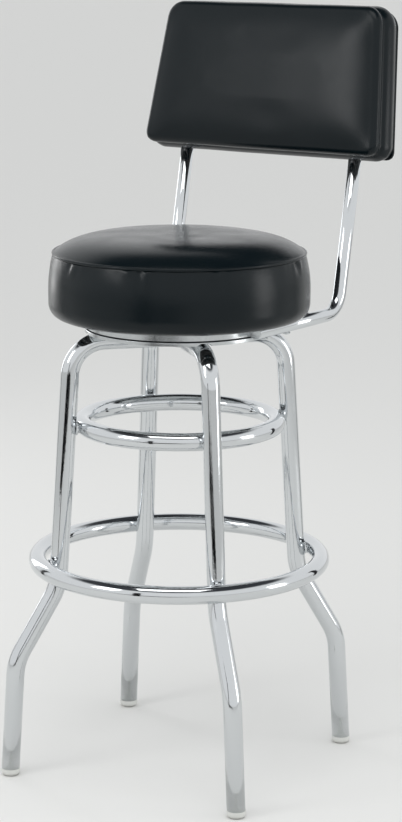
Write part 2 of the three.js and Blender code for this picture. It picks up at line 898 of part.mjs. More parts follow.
function makeBackScrew(side, height) {
  const under = postRadius + fitGap;
  const point = backBoardRear - backScrewDepth;
  const head = under + backScrewHeadHeight;
  const profile = [[0, point], [backScrewShank, point + backScrewShank], [backScrewShank, under]];
  profile.push([backScrewHead, under], [backScrewHead, under + backScrewHeadHeight * headRimShare]);
  profile.push([backScrewHead * headFlatShare, head], [0, head]);
  const screw = turned(profile, screwSides);
  screw.rotateX(-Math.PI / 2);
  return placedOnBack(movedTo(screw, (side * postSpacing) / 2, 0, height));
}

addPiece('back_board', makeBackBoard(), plywood);
for (const [side, word] of [[-1, 'left'], [1, 'right']]) {
  addPiece(`back_screw_${word}_low`, makeBackScrew(side, backScrewHeights[0]), zinc);
  addPiece(`back_screw_${word}_high`, makeBackScrew(side, backScrewHeights[1]), zinc);
}

// The way for each post up through the bottom of the padding.
function postWays() {
  return [-1, 1].map((side) => {
    const route = postRoute(side);
    const end = route.stations.at(-1);
    end.point.addScaledVector(postDirection(), fitGap);
    return wayAlong(route, postRadius + fitGap);
  });
}

// The insets and depths of a face from its side: a round edge, then a slow crown.
// The crown's sign says which way the face looks.
function crownedFace(sideInset, round, edgeDepth, crown) {
  const outward = Math.sign(crown);
  const layers = [];
  for (let step = 0; step <= bendSteps; step += 1) {
    const angle = (Math.PI / 2) * (step / bendSteps);
    const inset = sideInset + round * (1 - Math.cos(angle));
    layers.push([inset, edgeDepth - outward * round * (1 - Math.sin(angle))]);
  }
  for (let step = 1; step <= bendSteps; step += 1) {
    const along = step / bendSteps;
    const inset = THREE.MathUtils.lerp(sideInset + round, backCrownInset, along);
    layers.push([inset, edgeDepth + crown * (1 - (1 - along) ** 2)]);
  }
  return layers;
}

// The front of the back: foam over the board, with a crowned face and a side band
// that folds in where the foam's front edge ends.
function makeBackCushion() {
  const ridge = (backSeamDepth + backFoldDepth) / 2;
  const sides = [[backSeamDraw, backSeamDepth], [0, ridge], [backFold, backFoldDepth]];
  const face = crownedFace(0, backFrontRound, -backFrontDepth, -backFrontCrown);
  const layers = [...sides, ...face].map(([inset, depth]) => backOutline(inset, depth));
  const skin = placedOnBack(stacked(layers));
  const hollowDepths = [backSeamDepth + overrun, backBoardFront - fitGap];
  const hollow = placedOnBack(stacked(hollowDepths.map((depth) => backOutline(backWall, depth))));
  return cutAway(skin, [hollow, ...postWays()]);
}

// The rear of the back: a padded panel that fills the hollow behind the board.
function makeBackPanel() {
  const seam = backSeamDepth + fitGap;
  const face = crownedFace(backSeamDraw, backRearRound, backRearDepth, backRearCrown);
  const layers = [...face.reverse(), [backSeamDraw, seam]];
  const panel = stacked(layers.map(([inset, depth]) => backOutline(inset, depth)));
  const filling = backWall + fitGap * 2;
  const fillDepths = [seam + overrun, backBoardRear + fitGap];
  const fill = stacked(fillDepths.map((depth) => backOutline(filling, depth)));
  const whole = placedOnBack(joinAll([panel, fill]));
  const cutters = postWays();
  for (const side of [-1, 1]) {
    for (const height of backScrewHeights) {
      const depth = postRadius + fitGap * 2 + backScrewHeadHeight;
      cutters.push(acrossPost(backScrewHead + fitGap, side, height, 0, depth));
      cutters.push(acrossPost(backScrewShank + fitGap, side, height, backBoardRear - overrun, 0));
    }
  }
  return cutAway(whole, [...cutters, backWeltBody(backWeltCord + fitGap)]);
}

function backWeltBody(cord) {
  const layers = [];
  for (let step = 0; step < cordSides; step += 1) {
    const angle = (2 * Math.PI * step) / cordSides;
    const inset = backSeamDraw - cord * Math.cos(angle);
    layers.push(backOutline(inset, backSeamDepth - cord * Math.sin(angle)));
  }
  return placedOnBack(stacked(layers, true));
}

function makeBackCushionWithGroove() {
  return cutAway(makeBackCushion(), [backWeltBody(backWeltCord + fitGap)]);
}

addPiece('back_cushion', makeBackCushionWithGroove(), vinyl);
addPiece('back_panel', makeBackPanel(), vinyl);
addPiece('back_welt', backWeltBody(backWeltCord), vinyl);

// The origin: on the floor, under the middle of the whole stool

const bounds = new THREE.Box3().setFromObject(stool, true);
const middle = bounds.getCenter(new THREE.Vector3());
stool.position.set(-middle.x, -middle.y, -bounds.min.z);

export default stool;
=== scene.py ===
import math

import bmesh
import bpy
from mathutils import Matrix, Vector, noise


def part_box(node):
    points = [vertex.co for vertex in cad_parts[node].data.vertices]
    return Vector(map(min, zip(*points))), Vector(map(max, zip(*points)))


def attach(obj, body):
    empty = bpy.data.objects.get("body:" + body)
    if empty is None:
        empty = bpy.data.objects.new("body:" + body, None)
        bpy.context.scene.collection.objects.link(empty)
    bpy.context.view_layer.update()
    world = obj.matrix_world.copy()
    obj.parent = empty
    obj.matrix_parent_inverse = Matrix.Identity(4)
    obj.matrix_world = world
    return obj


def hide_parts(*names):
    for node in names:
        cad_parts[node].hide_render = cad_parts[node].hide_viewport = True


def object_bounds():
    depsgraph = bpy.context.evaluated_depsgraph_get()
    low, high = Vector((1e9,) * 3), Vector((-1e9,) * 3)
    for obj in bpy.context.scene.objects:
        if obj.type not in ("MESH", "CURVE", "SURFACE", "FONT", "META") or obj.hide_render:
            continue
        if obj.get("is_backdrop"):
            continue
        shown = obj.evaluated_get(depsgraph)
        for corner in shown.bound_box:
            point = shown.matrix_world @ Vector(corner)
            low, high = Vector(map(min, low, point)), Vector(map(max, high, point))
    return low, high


# A diner counter stool: a round black seat and a padded back on two chrome posts, turning on a
# ball bearing over a four legged base of bent chrome tube with two rings.
# Everything is in metres, with the front of the seat towards -Y and +Z up. Sizes are written in
# millimetres. Base and seat are built about the swivel's axis and then moved to where it stands.

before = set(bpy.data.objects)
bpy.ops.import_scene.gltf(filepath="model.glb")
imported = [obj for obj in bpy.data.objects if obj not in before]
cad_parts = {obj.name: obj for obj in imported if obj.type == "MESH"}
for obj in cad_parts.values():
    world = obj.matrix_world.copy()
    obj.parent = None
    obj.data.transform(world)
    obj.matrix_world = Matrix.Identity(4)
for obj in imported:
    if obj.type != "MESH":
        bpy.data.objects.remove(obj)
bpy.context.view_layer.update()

mm = 0.001
scene = bpy.context.scene
scene.view_settings.view_transform = "Standard"

pin_low, pin_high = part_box("swivel_pin")
swivel_foot = Vector(((pin_low.x + pin_high.x) / 2, (pin_low.y + pin_high.y) / 2, 0))


# The camera stands to the right of the seat's front, a little above the top of the back, and
# looks slightly down through a long lens.

view_turn = math.radians(35.5)
view_distance = 3339.25 * mm
view_height = 1201.42 * mm
view_yaw = math.radians(-0.52)
view_pitch = math.radians(-11.73)
view_roll = math.radians(0.165)
focal_length_in_pixels = 2446.35
picture_height_in_pixels = 822
sensor_side = 36

camera_data = bpy.data.cameras.new("camera")
camera_data.sensor_width = sensor_side
camera_data.lens = focal_length_in_pixels * sensor_side / picture_height_in_pixels
camera = bpy.data.objects.new("camera", camera_data)
scene.collection.objects.link(camera)
scene.camera = camera

camera_place = swivel_foot + Vector((
    view_distance * math.sin(view_turn),
    -view_distance * math.cos(view_turn),
    view_height,
))
turn = Matrix.Rotation(view_turn + view_yaw, 4, "Z")
tilt = Matrix.Rotation(math.radians(90) + view_pitch, 4, "X")
roll = Matrix.Rotation(view_roll, 4, "Z")
camera.matrix_world = Matrix.Translation(camera_place) @ turn @ tilt @ roll


# The studio: a painted floor that is matt and pale, a white surround with a darker ceiling,
# which gives the chrome its dark lines, and soft boxes on stands.


def linear(hex_colour):
    """Turns an sRGB hex colour into the linear colour that the shaders work in."""
    channels = [int(hex_colour[i:i + 2], 16) / 255 for i in (1, 3, 5)]
    curved = [c / 12.92 if c <= 0.04045 else ((c + 0.055) / 1.055) ** 2.4 for c in channels]
    return (*curved, 1)


def add_node(tree, kind, settings=None, inputs=None):
    """Adds a node, sets its properties, and fills its inputs with values or links to outputs."""
    made = tree.nodes.new(kind)
    for name, value in (settings or {}).items():
        setattr(made, name, value)
    for name, value in (inputs or {}).items():
        if isinstance(value, bpy.types.NodeSocket):
            tree.links.new(value, made.inputs[name])
        else:
            made.inputs[name].default_value = value
    return made


def new_material(name):
    """A new material, with its empty node tree."""
    material = bpy.data.materials.new(name)
    material.use_nodes = True
    material.node_tree.nodes.clear()
    return material, material.node_tree


def made_object(name, bm, *materials):
    """Makes an object from a mesh and its materials."""
    mesh = bpy.data.meshes.new(name)
    bm.to_mesh(mesh)
    bm.free()
    for material in materials:
        mesh.materials.append(material)
    piece = bpy.data.objects.new(name, mesh)
    scene.collection.objects.link(piece)
    return piece


floor_colour = "#e2e2e0"
floor_reach = 60
surround_colour = "#f4f5f6"
ceiling_colour = "#3c3e42"
surround_top = math.radians(40)
ceiling_start = math.radians(52)
plain_light = 0.95

floor_paint, tree = new_material("matt_floor_paint")
shader = add_node(tree, "ShaderNodeBsdfPrincipled", inputs={
    "Base Color": linear(floor_colour),
    "Roughness": 0.9,
    "Specular IOR Level": 0.2,
})
add_node(tree, "ShaderNodeOutputMaterial", inputs={"Surface": shader.outputs["BSDF"]})

bm = bmesh.new()
bmesh.ops.create_circle(bm, cap_ends=True, segments=64, radius=floor_reach)
floor = made_object("floor", bm, floor_paint)
floor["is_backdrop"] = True

world = bpy.data.worlds.new("studio")
scene.world = world
world.use_nodes = True
tree = world.node_tree
tree.nodes.clear()
direction = add_node(tree, "ShaderNodeTexCoord")
split = add_node(tree, "ShaderNodeSeparateXYZ", inputs={"Vector": direction.outputs["Generated"]})
height = add_node(tree, "ShaderNodeMapRange", {"interpolation_type": "SMOOTHSTEP"}, {
    "Value": split.outputs["Z"],
    "From Min": math.sin(surround_top),
    "From Max": math.sin(ceiling_start),
})
seen_colour = add_node(tree, "ShaderNodeMix", {"data_type": "RGBA"}, {
    0: height.outputs["Result"],
    6: linear(surround_colour),
    7: linear(ceiling_colour),
})
seen = add_node(tree, "ShaderNodeBackground", inputs={
    "Color": seen_colour.outputs[2],
    "Strength": 1,
})
lighting = add_node(tree, "ShaderNodeBackground", inputs={
    "Color": linear(surround_colour),
    "Strength": plain_light,
})
path = add_node(tree, "ShaderNodeLightPath")
glossy = add_node(tree, "ShaderNodeMath", {"operation": "MAXIMUM"}, {
    0: path.outputs["Is Glossy Ray"],
    1: path.outputs["Is Transmission Ray"],
})
looked_at = add_node(tree, "ShaderNodeMath", {"operation": "MAXIMUM"}, {
    0: path.outputs["Is Camera Ray"],
    1: glossy.outputs["Value"],
})
both = add_node(tree, "ShaderNodeMixShader", inputs={
    0: looked_at.outputs["Value"],
    1: lighting.outputs["Background"],
    2: seen.outputs["Background"],
})
add_node(tree, "ShaderNodeOutputWorld", inputs={"Surface": both.outputs["Shader"]})

stool_middle = swivel_foot + Vector((0, 0, 600 * mm))


def around_stool(azimuth, elevation, distance):
    """A place round the stool: azimuth 0 is in front of the seat and 90 to its right."""
    a = math.radians(azimuth)
    e = math.radians(elevation)
    out = Vector((math.sin(a) * math.cos(e), -math.cos(a) * math.cos(e), math.sin(e)))
    return stool_middle + out * distance


def soft_box(name, azimuth, elevation, distance, width, height, brightness):
    """A lamp behind white cloth that faces the stool. Brightness 1 looks as white as paper."""
    lamp = bpy.data.lights.new(name, "AREA")
    lamp.shape = "RECTANGLE"
    lamp.size = width
    lamp.size_y = height
    lamp.energy = brightness * math.pi * width * height
    box = bpy.data.objects.new(name, lamp)
    box.location = around_stool(azimuth, elevation, distance)
    aim = stool_middle - box.location
    box.rotation_mode = "QUATERNION"
    box.rotation_quaternion = aim.to_track_quat("-Z", "Y")
    scene.collection.objects.link(box)
    return box


camera_azimuth = math.degrees(view_turn)
soft_box("overhead_box", azimuth=camera_azimuth - 10, elevation=66, distance=2.1,
         width=1.5, height=1.0, brightness=2.4)
soft_box("left_box", azimuth=-24, elevation=27, distance=2.6,
         width=0.8, height=1.0, brightness=3.6)
soft_box("right_box", azimuth=112, elevation=4, distance=2.6,
         width=0.7, height=1.1, brightness=3.0)
soft_box("rear_left_box", azimuth=-105, elevation=8, distance=2.6,
         width=0.5, height=1.4, brightness=2.6)

# Black cards stand just outside the picture, and only reflections show them.
card_colour = "#0a0a0b"
card_bottom = 60 * mm
card_width = 120 * mm
card_height = 720 * mm
card_distance = 1250 * mm
card_azimuths = [camera_azimuth - 29, camera_azimuth - 116, camera_azimuth + 116]

black_card, tree = new_material("black_card")
shader = add_node(tree, "ShaderNodeBsdfDiffuse", inputs={"Color": linear(card_colour)})
add_node(tree, "ShaderNodeOutputMaterial", inputs={"Surface": shader.outputs["BSDF"]})


def black_sheet(name, width, length, placing):
    """A flat black sheet of the studio that shows in reflections alone."""
    bm = bmesh.new()
    bmesh.ops.create_grid(bm, x_segments=1, y_segments=1, size=0.5)
    bmesh.ops.scale(bm, vec=(width, length, 1), verts=bm.verts[:])
    bmesh.ops.transform(bm, matrix=placing, verts=bm.verts[:])
    sheet = made_object(name, bm, black_card)
    sheet.visible_camera = False
    sheet.visible_diffuse = False
    sheet.visible_shadow = False
    return sheet


for number, azimuth in enumerate(card_azimuths, 1):
    place = around_stool(azimuth, 0, card_distance)
    place.z = card_bottom + card_height / 2
    facing = Matrix.Rotation(math.radians(azimuth), 4, "Z") @ Matrix.Rotation(math.radians(90), 4, "X")
    card = black_sheet(f"black_card_{number}", card_width, card_height,
                       Matrix.Translation(place) @ facing)
    card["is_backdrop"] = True

# Well in front of the stool, outside the picture, the room has a black carpet. The seat's side
# band mirrors it, which darkens the middle of the band.
carpet_azimuth = 16
carpet_near = 2700 * mm
carpet_far = 7000 * mm
carpet_width = 3200 * mm
carpet_lift = 2 * mm

carpet_turn = Matrix.Translation(swivel_foot) @ Matrix.Rotation(math.radians(carpet_azimuth), 4, "Z")
carpet_middle = Matrix.Translation((0, -(carpet_near + carpet_far) / 2, carpet_lift))
carpet = black_sheet("black_carpet", carpet_width, carpet_far - carpet_near, carpet_turn @ carpet_middle)
carpet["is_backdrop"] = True


# The legs: 1 inch steel tube, cold bent and welded, then polished and chrome plated. One tube
# runs up, under the seat and down again as an arch, and two more are welded to its sides.

leg_tube = 25.4 * mm
leg_wall = 1.6 * mm
leg_radius = leg_tube / 2
foot_radius = 246.9 * mm
knee_radius = 236.8 * mm
knee_height = 164.5 * mm
shoulder_radius = 175.5 * mm
shoulder_height = 268.8 * mm
arch_radius = 153.1 * mm
arch_height = 613 * mm
knee_bend = 80 * mm
arch_bend = 48 * mm
glide_height = 10 * mm
base_turn = 51.65
cross_skew = -0.85
cross_twist = 2.9
fit_gap = 0.3 * mm
bend_facet = math.radians(6)
sharp_edge = math.radians(35)
rail_sides = 48
merge_distance = 0.005 * mm

# Chrome plated steel tube: bright mirror metal over a tube polished on a belt, so that the eye
# sees crisp reflections with a very slight orange peel and a few softer, hazy patches.
chrome_colour = "#d3d6d8"
orange_peel_size = 9 * mm
haze_size = 60 * mm

chrome, tree = new_material("chrome_plated_tube")
place = add_node(tree, "ShaderNodeTexCoord")
haze = add_node(tree, "ShaderNodeTexNoise", inputs={
    "Vector": place.outputs["Object"],
    "Scale": 1 / haze_size,
    "Detail": 3,
})
roughness = add_node(tree, "ShaderNodeMapRange", inputs={
    "Value": haze.outputs["Fac"],
    "From Min": 0.35,
    "From Max": 0.7,
    "To Min": 0.045,
    "To Max": 0.13,
})
orange_peel = add_node(tree, "ShaderNodeTexNoise", inputs={
    "Vector": place.outputs["Object"],
    "Scale": 1 / orange_peel_size,
    "Detail": 2,
})
relief = add_node(tree, "ShaderNodeBump", inputs={
    "Height": orange_peel.outputs["Fac"],
    "Strength": 0.12,
    "Distance": 0.4 * mm,
})
shader = add_node(tree, "ShaderNodeBsdfPrincipled", inputs={
    "Base Color": linear(chrome_colour),
    "Metallic": 1,
    "Roughness": roughness.outputs["Result"],
    "Normal": relief.outputs["Normal"],
})
add_node(tree, "ShaderNodeOutputMaterial", inputs={"Surface": shader.outputs["BSDF"]})


def finished(name, bm, *materials):
    """Moves a mesh built about the swivel's axis to its place, and makes it an object."""
    bmesh.ops.translate(bm, verts=bm.verts[:], vec=swivel_foot)
    piece = made_object(name, bm, *materials)
    piece.data.shade_smooth()
    piece.data.set_sharp_from_angle(angle=sharp_edge)
    return piece



def walled(piece, thickness):
    """Gives an open skin its sheet or tube wall, inwards."""
    wall = piece.modifiers.new("wall", "SOLIDIFY")
    wall.thickness = thickness
    wall.offset = -1
    wall.use_even_offset = True


def edge_loop(bm, verts):
    """The edges that join the given vertices."""
    chosen = set(verts)
    return [edge for edge in bm.edges if chosen.issuperset(edge.verts)]


def extruded(bm, verts, move):
    """Extrudes a loop of vertices by a vector and gives back the new loop."""
    made = bmesh.ops.extrude_edge_only(bm, edges=edge_loop(bm, verts))["geom"]
    fresh = [item for item in made if isinstance(item, bmesh.types.BMVert)]
    bmesh.ops.translate(bm, verts=fresh, vec=move)
    return fresh


def spun(bm, verts, centre, axis, angle, steps):
    """Spins a loop of vertices about an axis and gives back the last loop."""
    made = bmesh.ops.spin(
        bm, geom=[*verts, *edge_loop(bm, verts)], cent=centre, axis=axis,
        dvec=(0, 0, 0), angle=angle, steps=steps, use_merge=False,
    )["geom_last"]
    return [item for item in made if isinstance(item, bmesh.types.BMVert)]


def bent_tube(corners, bends, radius):
    """The outer skin of a tube: straight runs are extruded and round bends are spun. It gives
    back the mesh with the loops at its first and last end."""
    bm = bmesh.new()
    facing = (corners[1] - corners[0]).to_track_quat("Z", "Y").to_matrix().to_4x4()
    circle = bmesh.ops.create_circle(
        bm, segments=rail_sides, radius=radius, matrix=Matrix.Translation(corners[0]) @ facing,
    )
    first = circle["verts"]
    loop = first
    reached = corners[0]
    for i, bend in enumerate(bends, 1):
        before = (corners[i] - corners[i - 1]).normalized()
        after = (corners[i + 1] - corners[i]).normalized()
        angle = before.angle(after)
        reach = bend * math.tan(angle / 2)
        bend_start = corners[i] - before * reach
        loop = extruded(bm, loop, bend_start - reached)
        inward = (after - before * after.dot(before)).normalized()
        steps = math.ceil(angle / bend_facet)
        loop = spun(bm, loop, bend_start + inward * bend, before.cross(after), angle, steps)
        reached = corners[i] + after * reach
    last = extruded(bm, loop, corners[-1] - reached)
    bmesh.ops.recalc_face_normals(bm, faces=bm.faces[:])
    return bm, first, last


def cut_level(verts, along, height):
    """Slides an end loop along its tube until it lies level."""
    for vert in verts:
        vert.co += along * ((height - vert.co.z) / along.z)


def polar(radius, angle, height):
    """A point at a radius and angle round the swivel's axis."""
    return Vector((radius * math.cos(angle), radius * math.sin(angle), height))


def share_between(value, low, high):
    return (value - low) / (high - low)


def shin_radius_at(height):
    return foot_radius + (knee_radius - foot_radius) * share_between(height, 0, knee_height)


def leg_radius_at(height):
    along = share_between(height, shoulder_height, arch_height)
    return shoulder_radius + (arch_radius - shoulder_radius) * along


arch_angle = math.radians(base_turn)


def cross_angle(height):
    """The two cross legs stand slightly turned from square to the arch, more at the foot."""
    return math.radians(base_turn + cross_skew + cross_twist * (1 - height / arch_height))


foot_end = glide_height + fit_gap


def leg_corners(angle_at):
    return [
        polar(shin_radius_at(foot_end), angle_at(foot_end), foot_end),
        polar(knee_radius, angle_at(knee_height), knee_height),
        polar(shoulder_radius, angle_at(shoulder_height), shoulder_height),
        polar(arch_radius, angle_at(arch_height), arch_height),
    ]


leg_bends = [knee_bend, knee_bend, arch_bend]
one_leg = leg_corners(lambda height: arch_angle)
other_leg = leg_corners(lambda height: arch_angle + math.pi)
bm, first, last = bent_tube([*one_leg, *reversed(other_leg)], [*leg_bends, *reversed(leg_bends)], leg_radius)
cut_level(first, (one_leg[1] - one_leg[0]).normalized(), foot_end)
cut_level(last, (other_leg[1] - other_leg[0]).normalized(), foot_end)
arch = finished("arch_leg_tube", bm, chrome)
walled(arch, leg_wall)
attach(arch, "base")
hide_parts("leg_arch")

# Each weld is a bead of metal laid in short steps, which leaves ripples under the plating.
bead_steps = 72
bead_sides = 12
bead_ripples = 26
bead_ripple_share = 0.1
saddle_bead = 1.9 * mm
saddle_bead_stand = saddle_bead / 3
bead_unevenness = 0.5 * mm
bead_unevenness_size = 6 * mm


def spun_round(bm, geom, steps):
    """Spins a profile or a loop once round the Z axis, into a closed surface."""
    bmesh.ops.spin(
        bm, geom=geom, cent=(0, 0, 0), axis=(0, 0, 1), dvec=(0, 0, 0),
        angle=2 * math.pi, steps=steps, use_merge=True,
    )
    bmesh.ops.remove_doubles(bm, verts=bm.verts[:], dist=merge_distance)
    bmesh.ops.recalc_face_normals(bm, faces=bm.faces[:])


def level_ring(middle_radius, height, radius, sides, steps):
    """A round bar bent into a level ring about the Z axis."""
    bm = bmesh.new()
    upright = Matrix.Translation((middle_radius, 0, height)) @ Matrix.Rotation(math.radians(90), 4, "X")
    loop = bmesh.ops.create_circle(bm, segments=sides, radius=radius, matrix=upright)["verts"]
    spun_round(bm, [*loop, *edge_loop(bm, loop)], steps)
    return bm


def weld_ring(middle_radius, cord):
    """A flat ring of rippled weld round the Z axis at the origin."""
    bm = level_ring(middle_radius, 0, cord, bead_sides, bead_steps)
    for vert in bm.verts:
        out = Vector((vert.co.x, vert.co.y, 0))
        middle = out.normalized() * middle_radius
        ripple = bead_ripple_share * math.cos(bead_ripples * math.atan2(out.y, out.x))
        vert.co += (vert.co - middle) * ripple
    return bm


# The noise starts from a fixed seed, so that every run gives the same unevenness.
noise.seed_set(1)


def uneven(bm, size, amount, shift=0):
    """Makes hand work slightly uneven. Pieces with another shift come out differently."""
    for vert in bm.verts:
        vert.co += noise.noise_vector(vert.co / size + Vector((shift, 0, 0))) * amount


arch_along = Vector((math.cos(arch_angle), math.sin(arch_angle), 0))
arch_side = Vector((-math.sin(arch_angle), math.cos(arch_angle), 0))
plate_sheet = 2 * mm
arch_top = arch_height + leg_radius
plate_top = arch_top + fit_gap + plate_sheet


def cope_depth(rise):
    """How far from the arch's middle line the end of a coped tube lies, at a height over it."""
    return math.sqrt(max(leg_radius ** 2 - rise ** 2, 0))


for side, word, node in [(-1, "front_right", "leg_front_right"), (1, "rear_left", "leg_rear_left")]:
    corners = leg_corners(lambda height: cross_angle(height) + side * math.pi / 2)
    inwards = -polar(1, cross_angle(arch_height) + side * math.pi / 2, 0)
    start = Vector((0, 0, arch_height)) - inwards * leg_radius / 2
    bm, first, last = bent_tube([*corners, start], leg_bends, leg_radius)
    cut_level(first, (corners[1] - corners[0]).normalized(), foot_end)
    for vert in last:
        wanted = side * cope_depth(vert.co.z - arch_height)
        vert.co += inwards * ((wanted - vert.co.dot(arch_side)) / inwards.dot(arch_side))
    leg = finished(f"{word}_leg_tube", bm, chrome)
    walled(leg, leg_wall)
    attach(leg, "base")
    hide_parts(node)

    bm = weld_ring(leg_radius + saddle_bead_stand, saddle_bead)
    uneven(bm, bead_unevenness_size, bead_unevenness, side)
    facing = inwards.to_track_quat("Z", "Y").to_matrix().to_4x4()
    bmesh.ops.transform(bm, matrix=Matrix.Translation((0, 0, arch_height)) @ facing, verts=bm.verts[:])
    for vert in bm.verts:
        rise = vert.co.z - arch_height
        vert.co -= inwards * cope_depth(rise)
        vert.co.z = min(vert.co.z, arch_top)
    weld = finished(f"{word}_saddle_weld", bm, chrome)
    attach(weld, "base")


# The two rings: chrome plated tube rolled into a circle and butt welded. The upper ring is
# welded inside the legs, and the lower one, the footrest, outside them.

ring_tube = 25 * mm
ring_radius = ring_tube / 2
upper_ring_height = 493.4 * mm
foot_ring_height = 298.4 * mm
ring_steps = 180
ring_bead_radius = 8.2 * mm
ring_bead = 2 * mm
leg_slope = math.atan((shoulder_radius - arch_radius) / (arch_height - shoulder_height))
leg_words = ["rear_right", "rear_left", "front_left", "front_right"]


def leg_angle_at(word, height):
    if word == "rear_right":
        return arch_angle
    if word == "front_left":
        return arch_angle + math.pi
    return cross_angle(height) + (math.pi / 2 if word == "rear_left" else -math.pi / 2)


for name, node, height, side in [
    ("inner_ring_tube", "upper_ring", upper_ring_height, -1),
    ("footrest_ring_tube", "foot_ring", foot_ring_height, 1),
]:
    reach = (leg_radius + ring_radius + fit_gap) / math.cos(leg_slope)
    middle = leg_radius_at(height) + side * reach
    bm = level_ring(middle, height, ring_radius, rail_sides, ring_steps)
    ring = finished(name, bm, chrome)
    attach(ring, "base")
    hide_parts(node)

    for number, word in enumerate(leg_words):
        angle = leg_angle_at(word, height)
        outward = polar(1, angle, 0)
        up_leg = Vector((0, 0, math.cos(leg_slope))) - outward * math.sin(leg_slope)
        normal = outward * math.cos(leg_slope) + Vector((0, 0, math.sin(leg_slope)))
        touch = polar(leg_radius_at(height), angle, height) + side * normal * (leg_radius + fit_gap / 2)
        bm = weld_ring(ring_bead_radius, ring_bead)
        uneven(bm, bead_unevenness_size, bead_unevenness, number + side * 10)
        facing = Matrix((up_leg.cross(normal), up_leg, normal)).transposed().to_4x4()
        bmesh.ops.transform(bm, matrix=Matrix.Translation(touch) @ facing, verts=bm.verts[:])
        weld = finished(f"{name}_{word}_weld", bm, chrome)
        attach(weld, "base")


# The glides: pale polyethylene caps with a stem that is pressed into the end of each leg. They
# are moulded, so their edges are soft and their surface satin, and a little scuffed underneath.

glide_round = 6 * mm
glide_lip = 0.5 * mm
glide_stem = 22 * mm
glide_shoulder_round = 0.8 * mm
glide_stem_chamfer = 1 * mm
glide_colour = "#d5d6d2"
scuff_colour = "#8f8d86"
scuff_size = 5 * mm
scuff_height = 5 * mm
turning_steps = 48

polyethylene, tree = new_material("moulded_polyethylene")
place = add_node(tree, "ShaderNodeTexCoord")
height = add_node(tree, "ShaderNodeSeparateXYZ", inputs={"Vector": place.outputs["Object"]})
scuffs = add_node(tree, "ShaderNodeTexNoise", inputs={
    "Vector": place.outputs["Object"],
    "Scale": 1 / scuff_size,
    "Detail": 5,
})
low_down = add_node(tree, "ShaderNodeMapRange", inputs={
    "Value": height.outputs["Z"],
    "From Min": 0,
    "From Max": scuff_height,
    "To Min": 0.8,
    "To Max": 0,
})
worn = add_node(tree, "ShaderNodeMath", {"operation": "MULTIPLY"}, {
    0: scuffs.outputs["Fac"],
    1: low_down.outputs["Result"],
})
colour = add_node(tree, "ShaderNodeMix", {"data_type": "RGBA"}, {
    0: worn.outputs["Value"],
    6: linear(glide_colour),
    7: linear(scuff_colour),
})
relief = add_node(tree, "ShaderNodeBump", inputs={
    "Height": scuffs.outputs["Fac"],
    "Strength": 0.2,
    "Distance": 0.2 * mm,
})
shader = add_node(tree, "ShaderNodeBsdfPrincipled", inputs={
    "Base Color": colour.outputs[2],
    "Roughness": 0.42,
    "IOR": 1.51,
    "Normal": relief.outputs["Normal"],
})
add_node(tree, "ShaderNodeOutputMaterial", inputs={"Surface": shader.outputs["BSDF"]})


def arc(middle_out, middle_up, radius, from_angle, to_angle, steps=8):
    """Points of a profile along an arc, with angles in degrees from straight outwards."""
    points = []
    for step in range(steps + 1):
        angle = math.radians(from_angle + (to_angle - from_angle) * step / steps)
        points.append((middle_out + radius * math.cos(angle), middle_up + radius * math.sin(angle)))
    return points


def turned(profile, steps=turning_steps, closed=False):
    """A mesh turned about the Z axis from a profile of (radius, height) points."""
    bm = bmesh.new()
    verts = [bm.verts.new((out, 0, up)) for out, up in profile]
    pairs = list(zip(verts, verts[1:]))
    if closed:
        pairs.append((verts[-1], verts[0]))
    for pair in pairs:
        bm.edges.new(pair)
    spun_round(bm, bm.verts[:] + bm.edges[:], steps)
    return bm


shoe = leg_radius + glide_lip
stem = leg_radius - leg_wall - fit_gap
for word in leg_words:
    profile = [(0, 0)]
    profile += arc(shoe - glide_round, glide_round, glide_round, -90, 0)
    profile += arc(shoe - glide_shoulder_round, glide_height - glide_shoulder_round,
                   glide_shoulder_round, 0, 90)
    profile += [(stem, glide_height), (stem, glide_stem - glide_stem_chamfer),
                (stem - glide_stem_chamfer, glide_stem), (0, glide_stem)]
    bm = turned(profile)
    angle = leg_angle_at(word, 0)
    foot = polar(shin_radius_at(foot_end), angle, 0)
    lean_in = polar(shin_radius_at(glide_stem), angle, 0) - foot
    for vert in bm.verts:
        if vert.co.z > glide_height + fit_gap:
            vert.co += lean_in * share_between(vert.co.z, glide_height, glide_stem)
    bmesh.ops.translate(bm, verts=bm.verts[:], vec=foot)
    glide = finished(f"{word}_glide", bm, polyethylene)
    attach(glide, "base")
    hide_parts(f"glide_{word}")


# The swivel's lower plate: 2 mm sheet pressed into a shallow round pan, zinc plated. It sits on
# the crossing of the tubes, and its rim is notched to fit over them.

plate_radius = 131 * mm
plate_rim = 5.5 * mm
plate_edge_round = 1.5 * mm
pan_steps = 160
tube_notch = 26 * mm

# Zinc plated pressed steel: a cool silver with a satin, faintly mottled surface.
zinc_colour = "#d6d9da"
zinc_dull_colour = "#bfc3c5"
zinc_mottle = 4 * mm

zinc, tree = new_material("zinc_plated_steel")
place = add_node(tree, "ShaderNodeTexCoord")
mottle = add_node(tree, "ShaderNodeTexNoise", inputs={
    "Vector": place.outputs["Object"],
    "Scale": 1 / zinc_mottle,
    "Detail": 4,
})
colour = add_node(tree, "ShaderNodeMix", {"data_type": "RGBA"}, {
    0: mottle.outputs["Fac"],
    6: linear(zinc_colour),
    7: linear(zinc_dull_colour),
})
roughness = add_node(tree, "ShaderNodeMapRange", inputs={
    "Value": mottle.outputs["Fac"],
    "To Min": 0.16,
    "To Max": 0.3,
})
relief = add_node(tree, "ShaderNodeBump", inputs={
    "Height": mottle.outputs["Fac"],
    "Strength": 0.15,
    "Distance": 0.15 * mm,
})
shader = add_node(tree, "ShaderNodeBsdfPrincipled", inputs={
    "Base Color": colour.outputs[2],
    "Metallic": 1,
    "Roughness": roughness.outputs["Result"],
    "Normal": relief.outputs["Normal"],
})
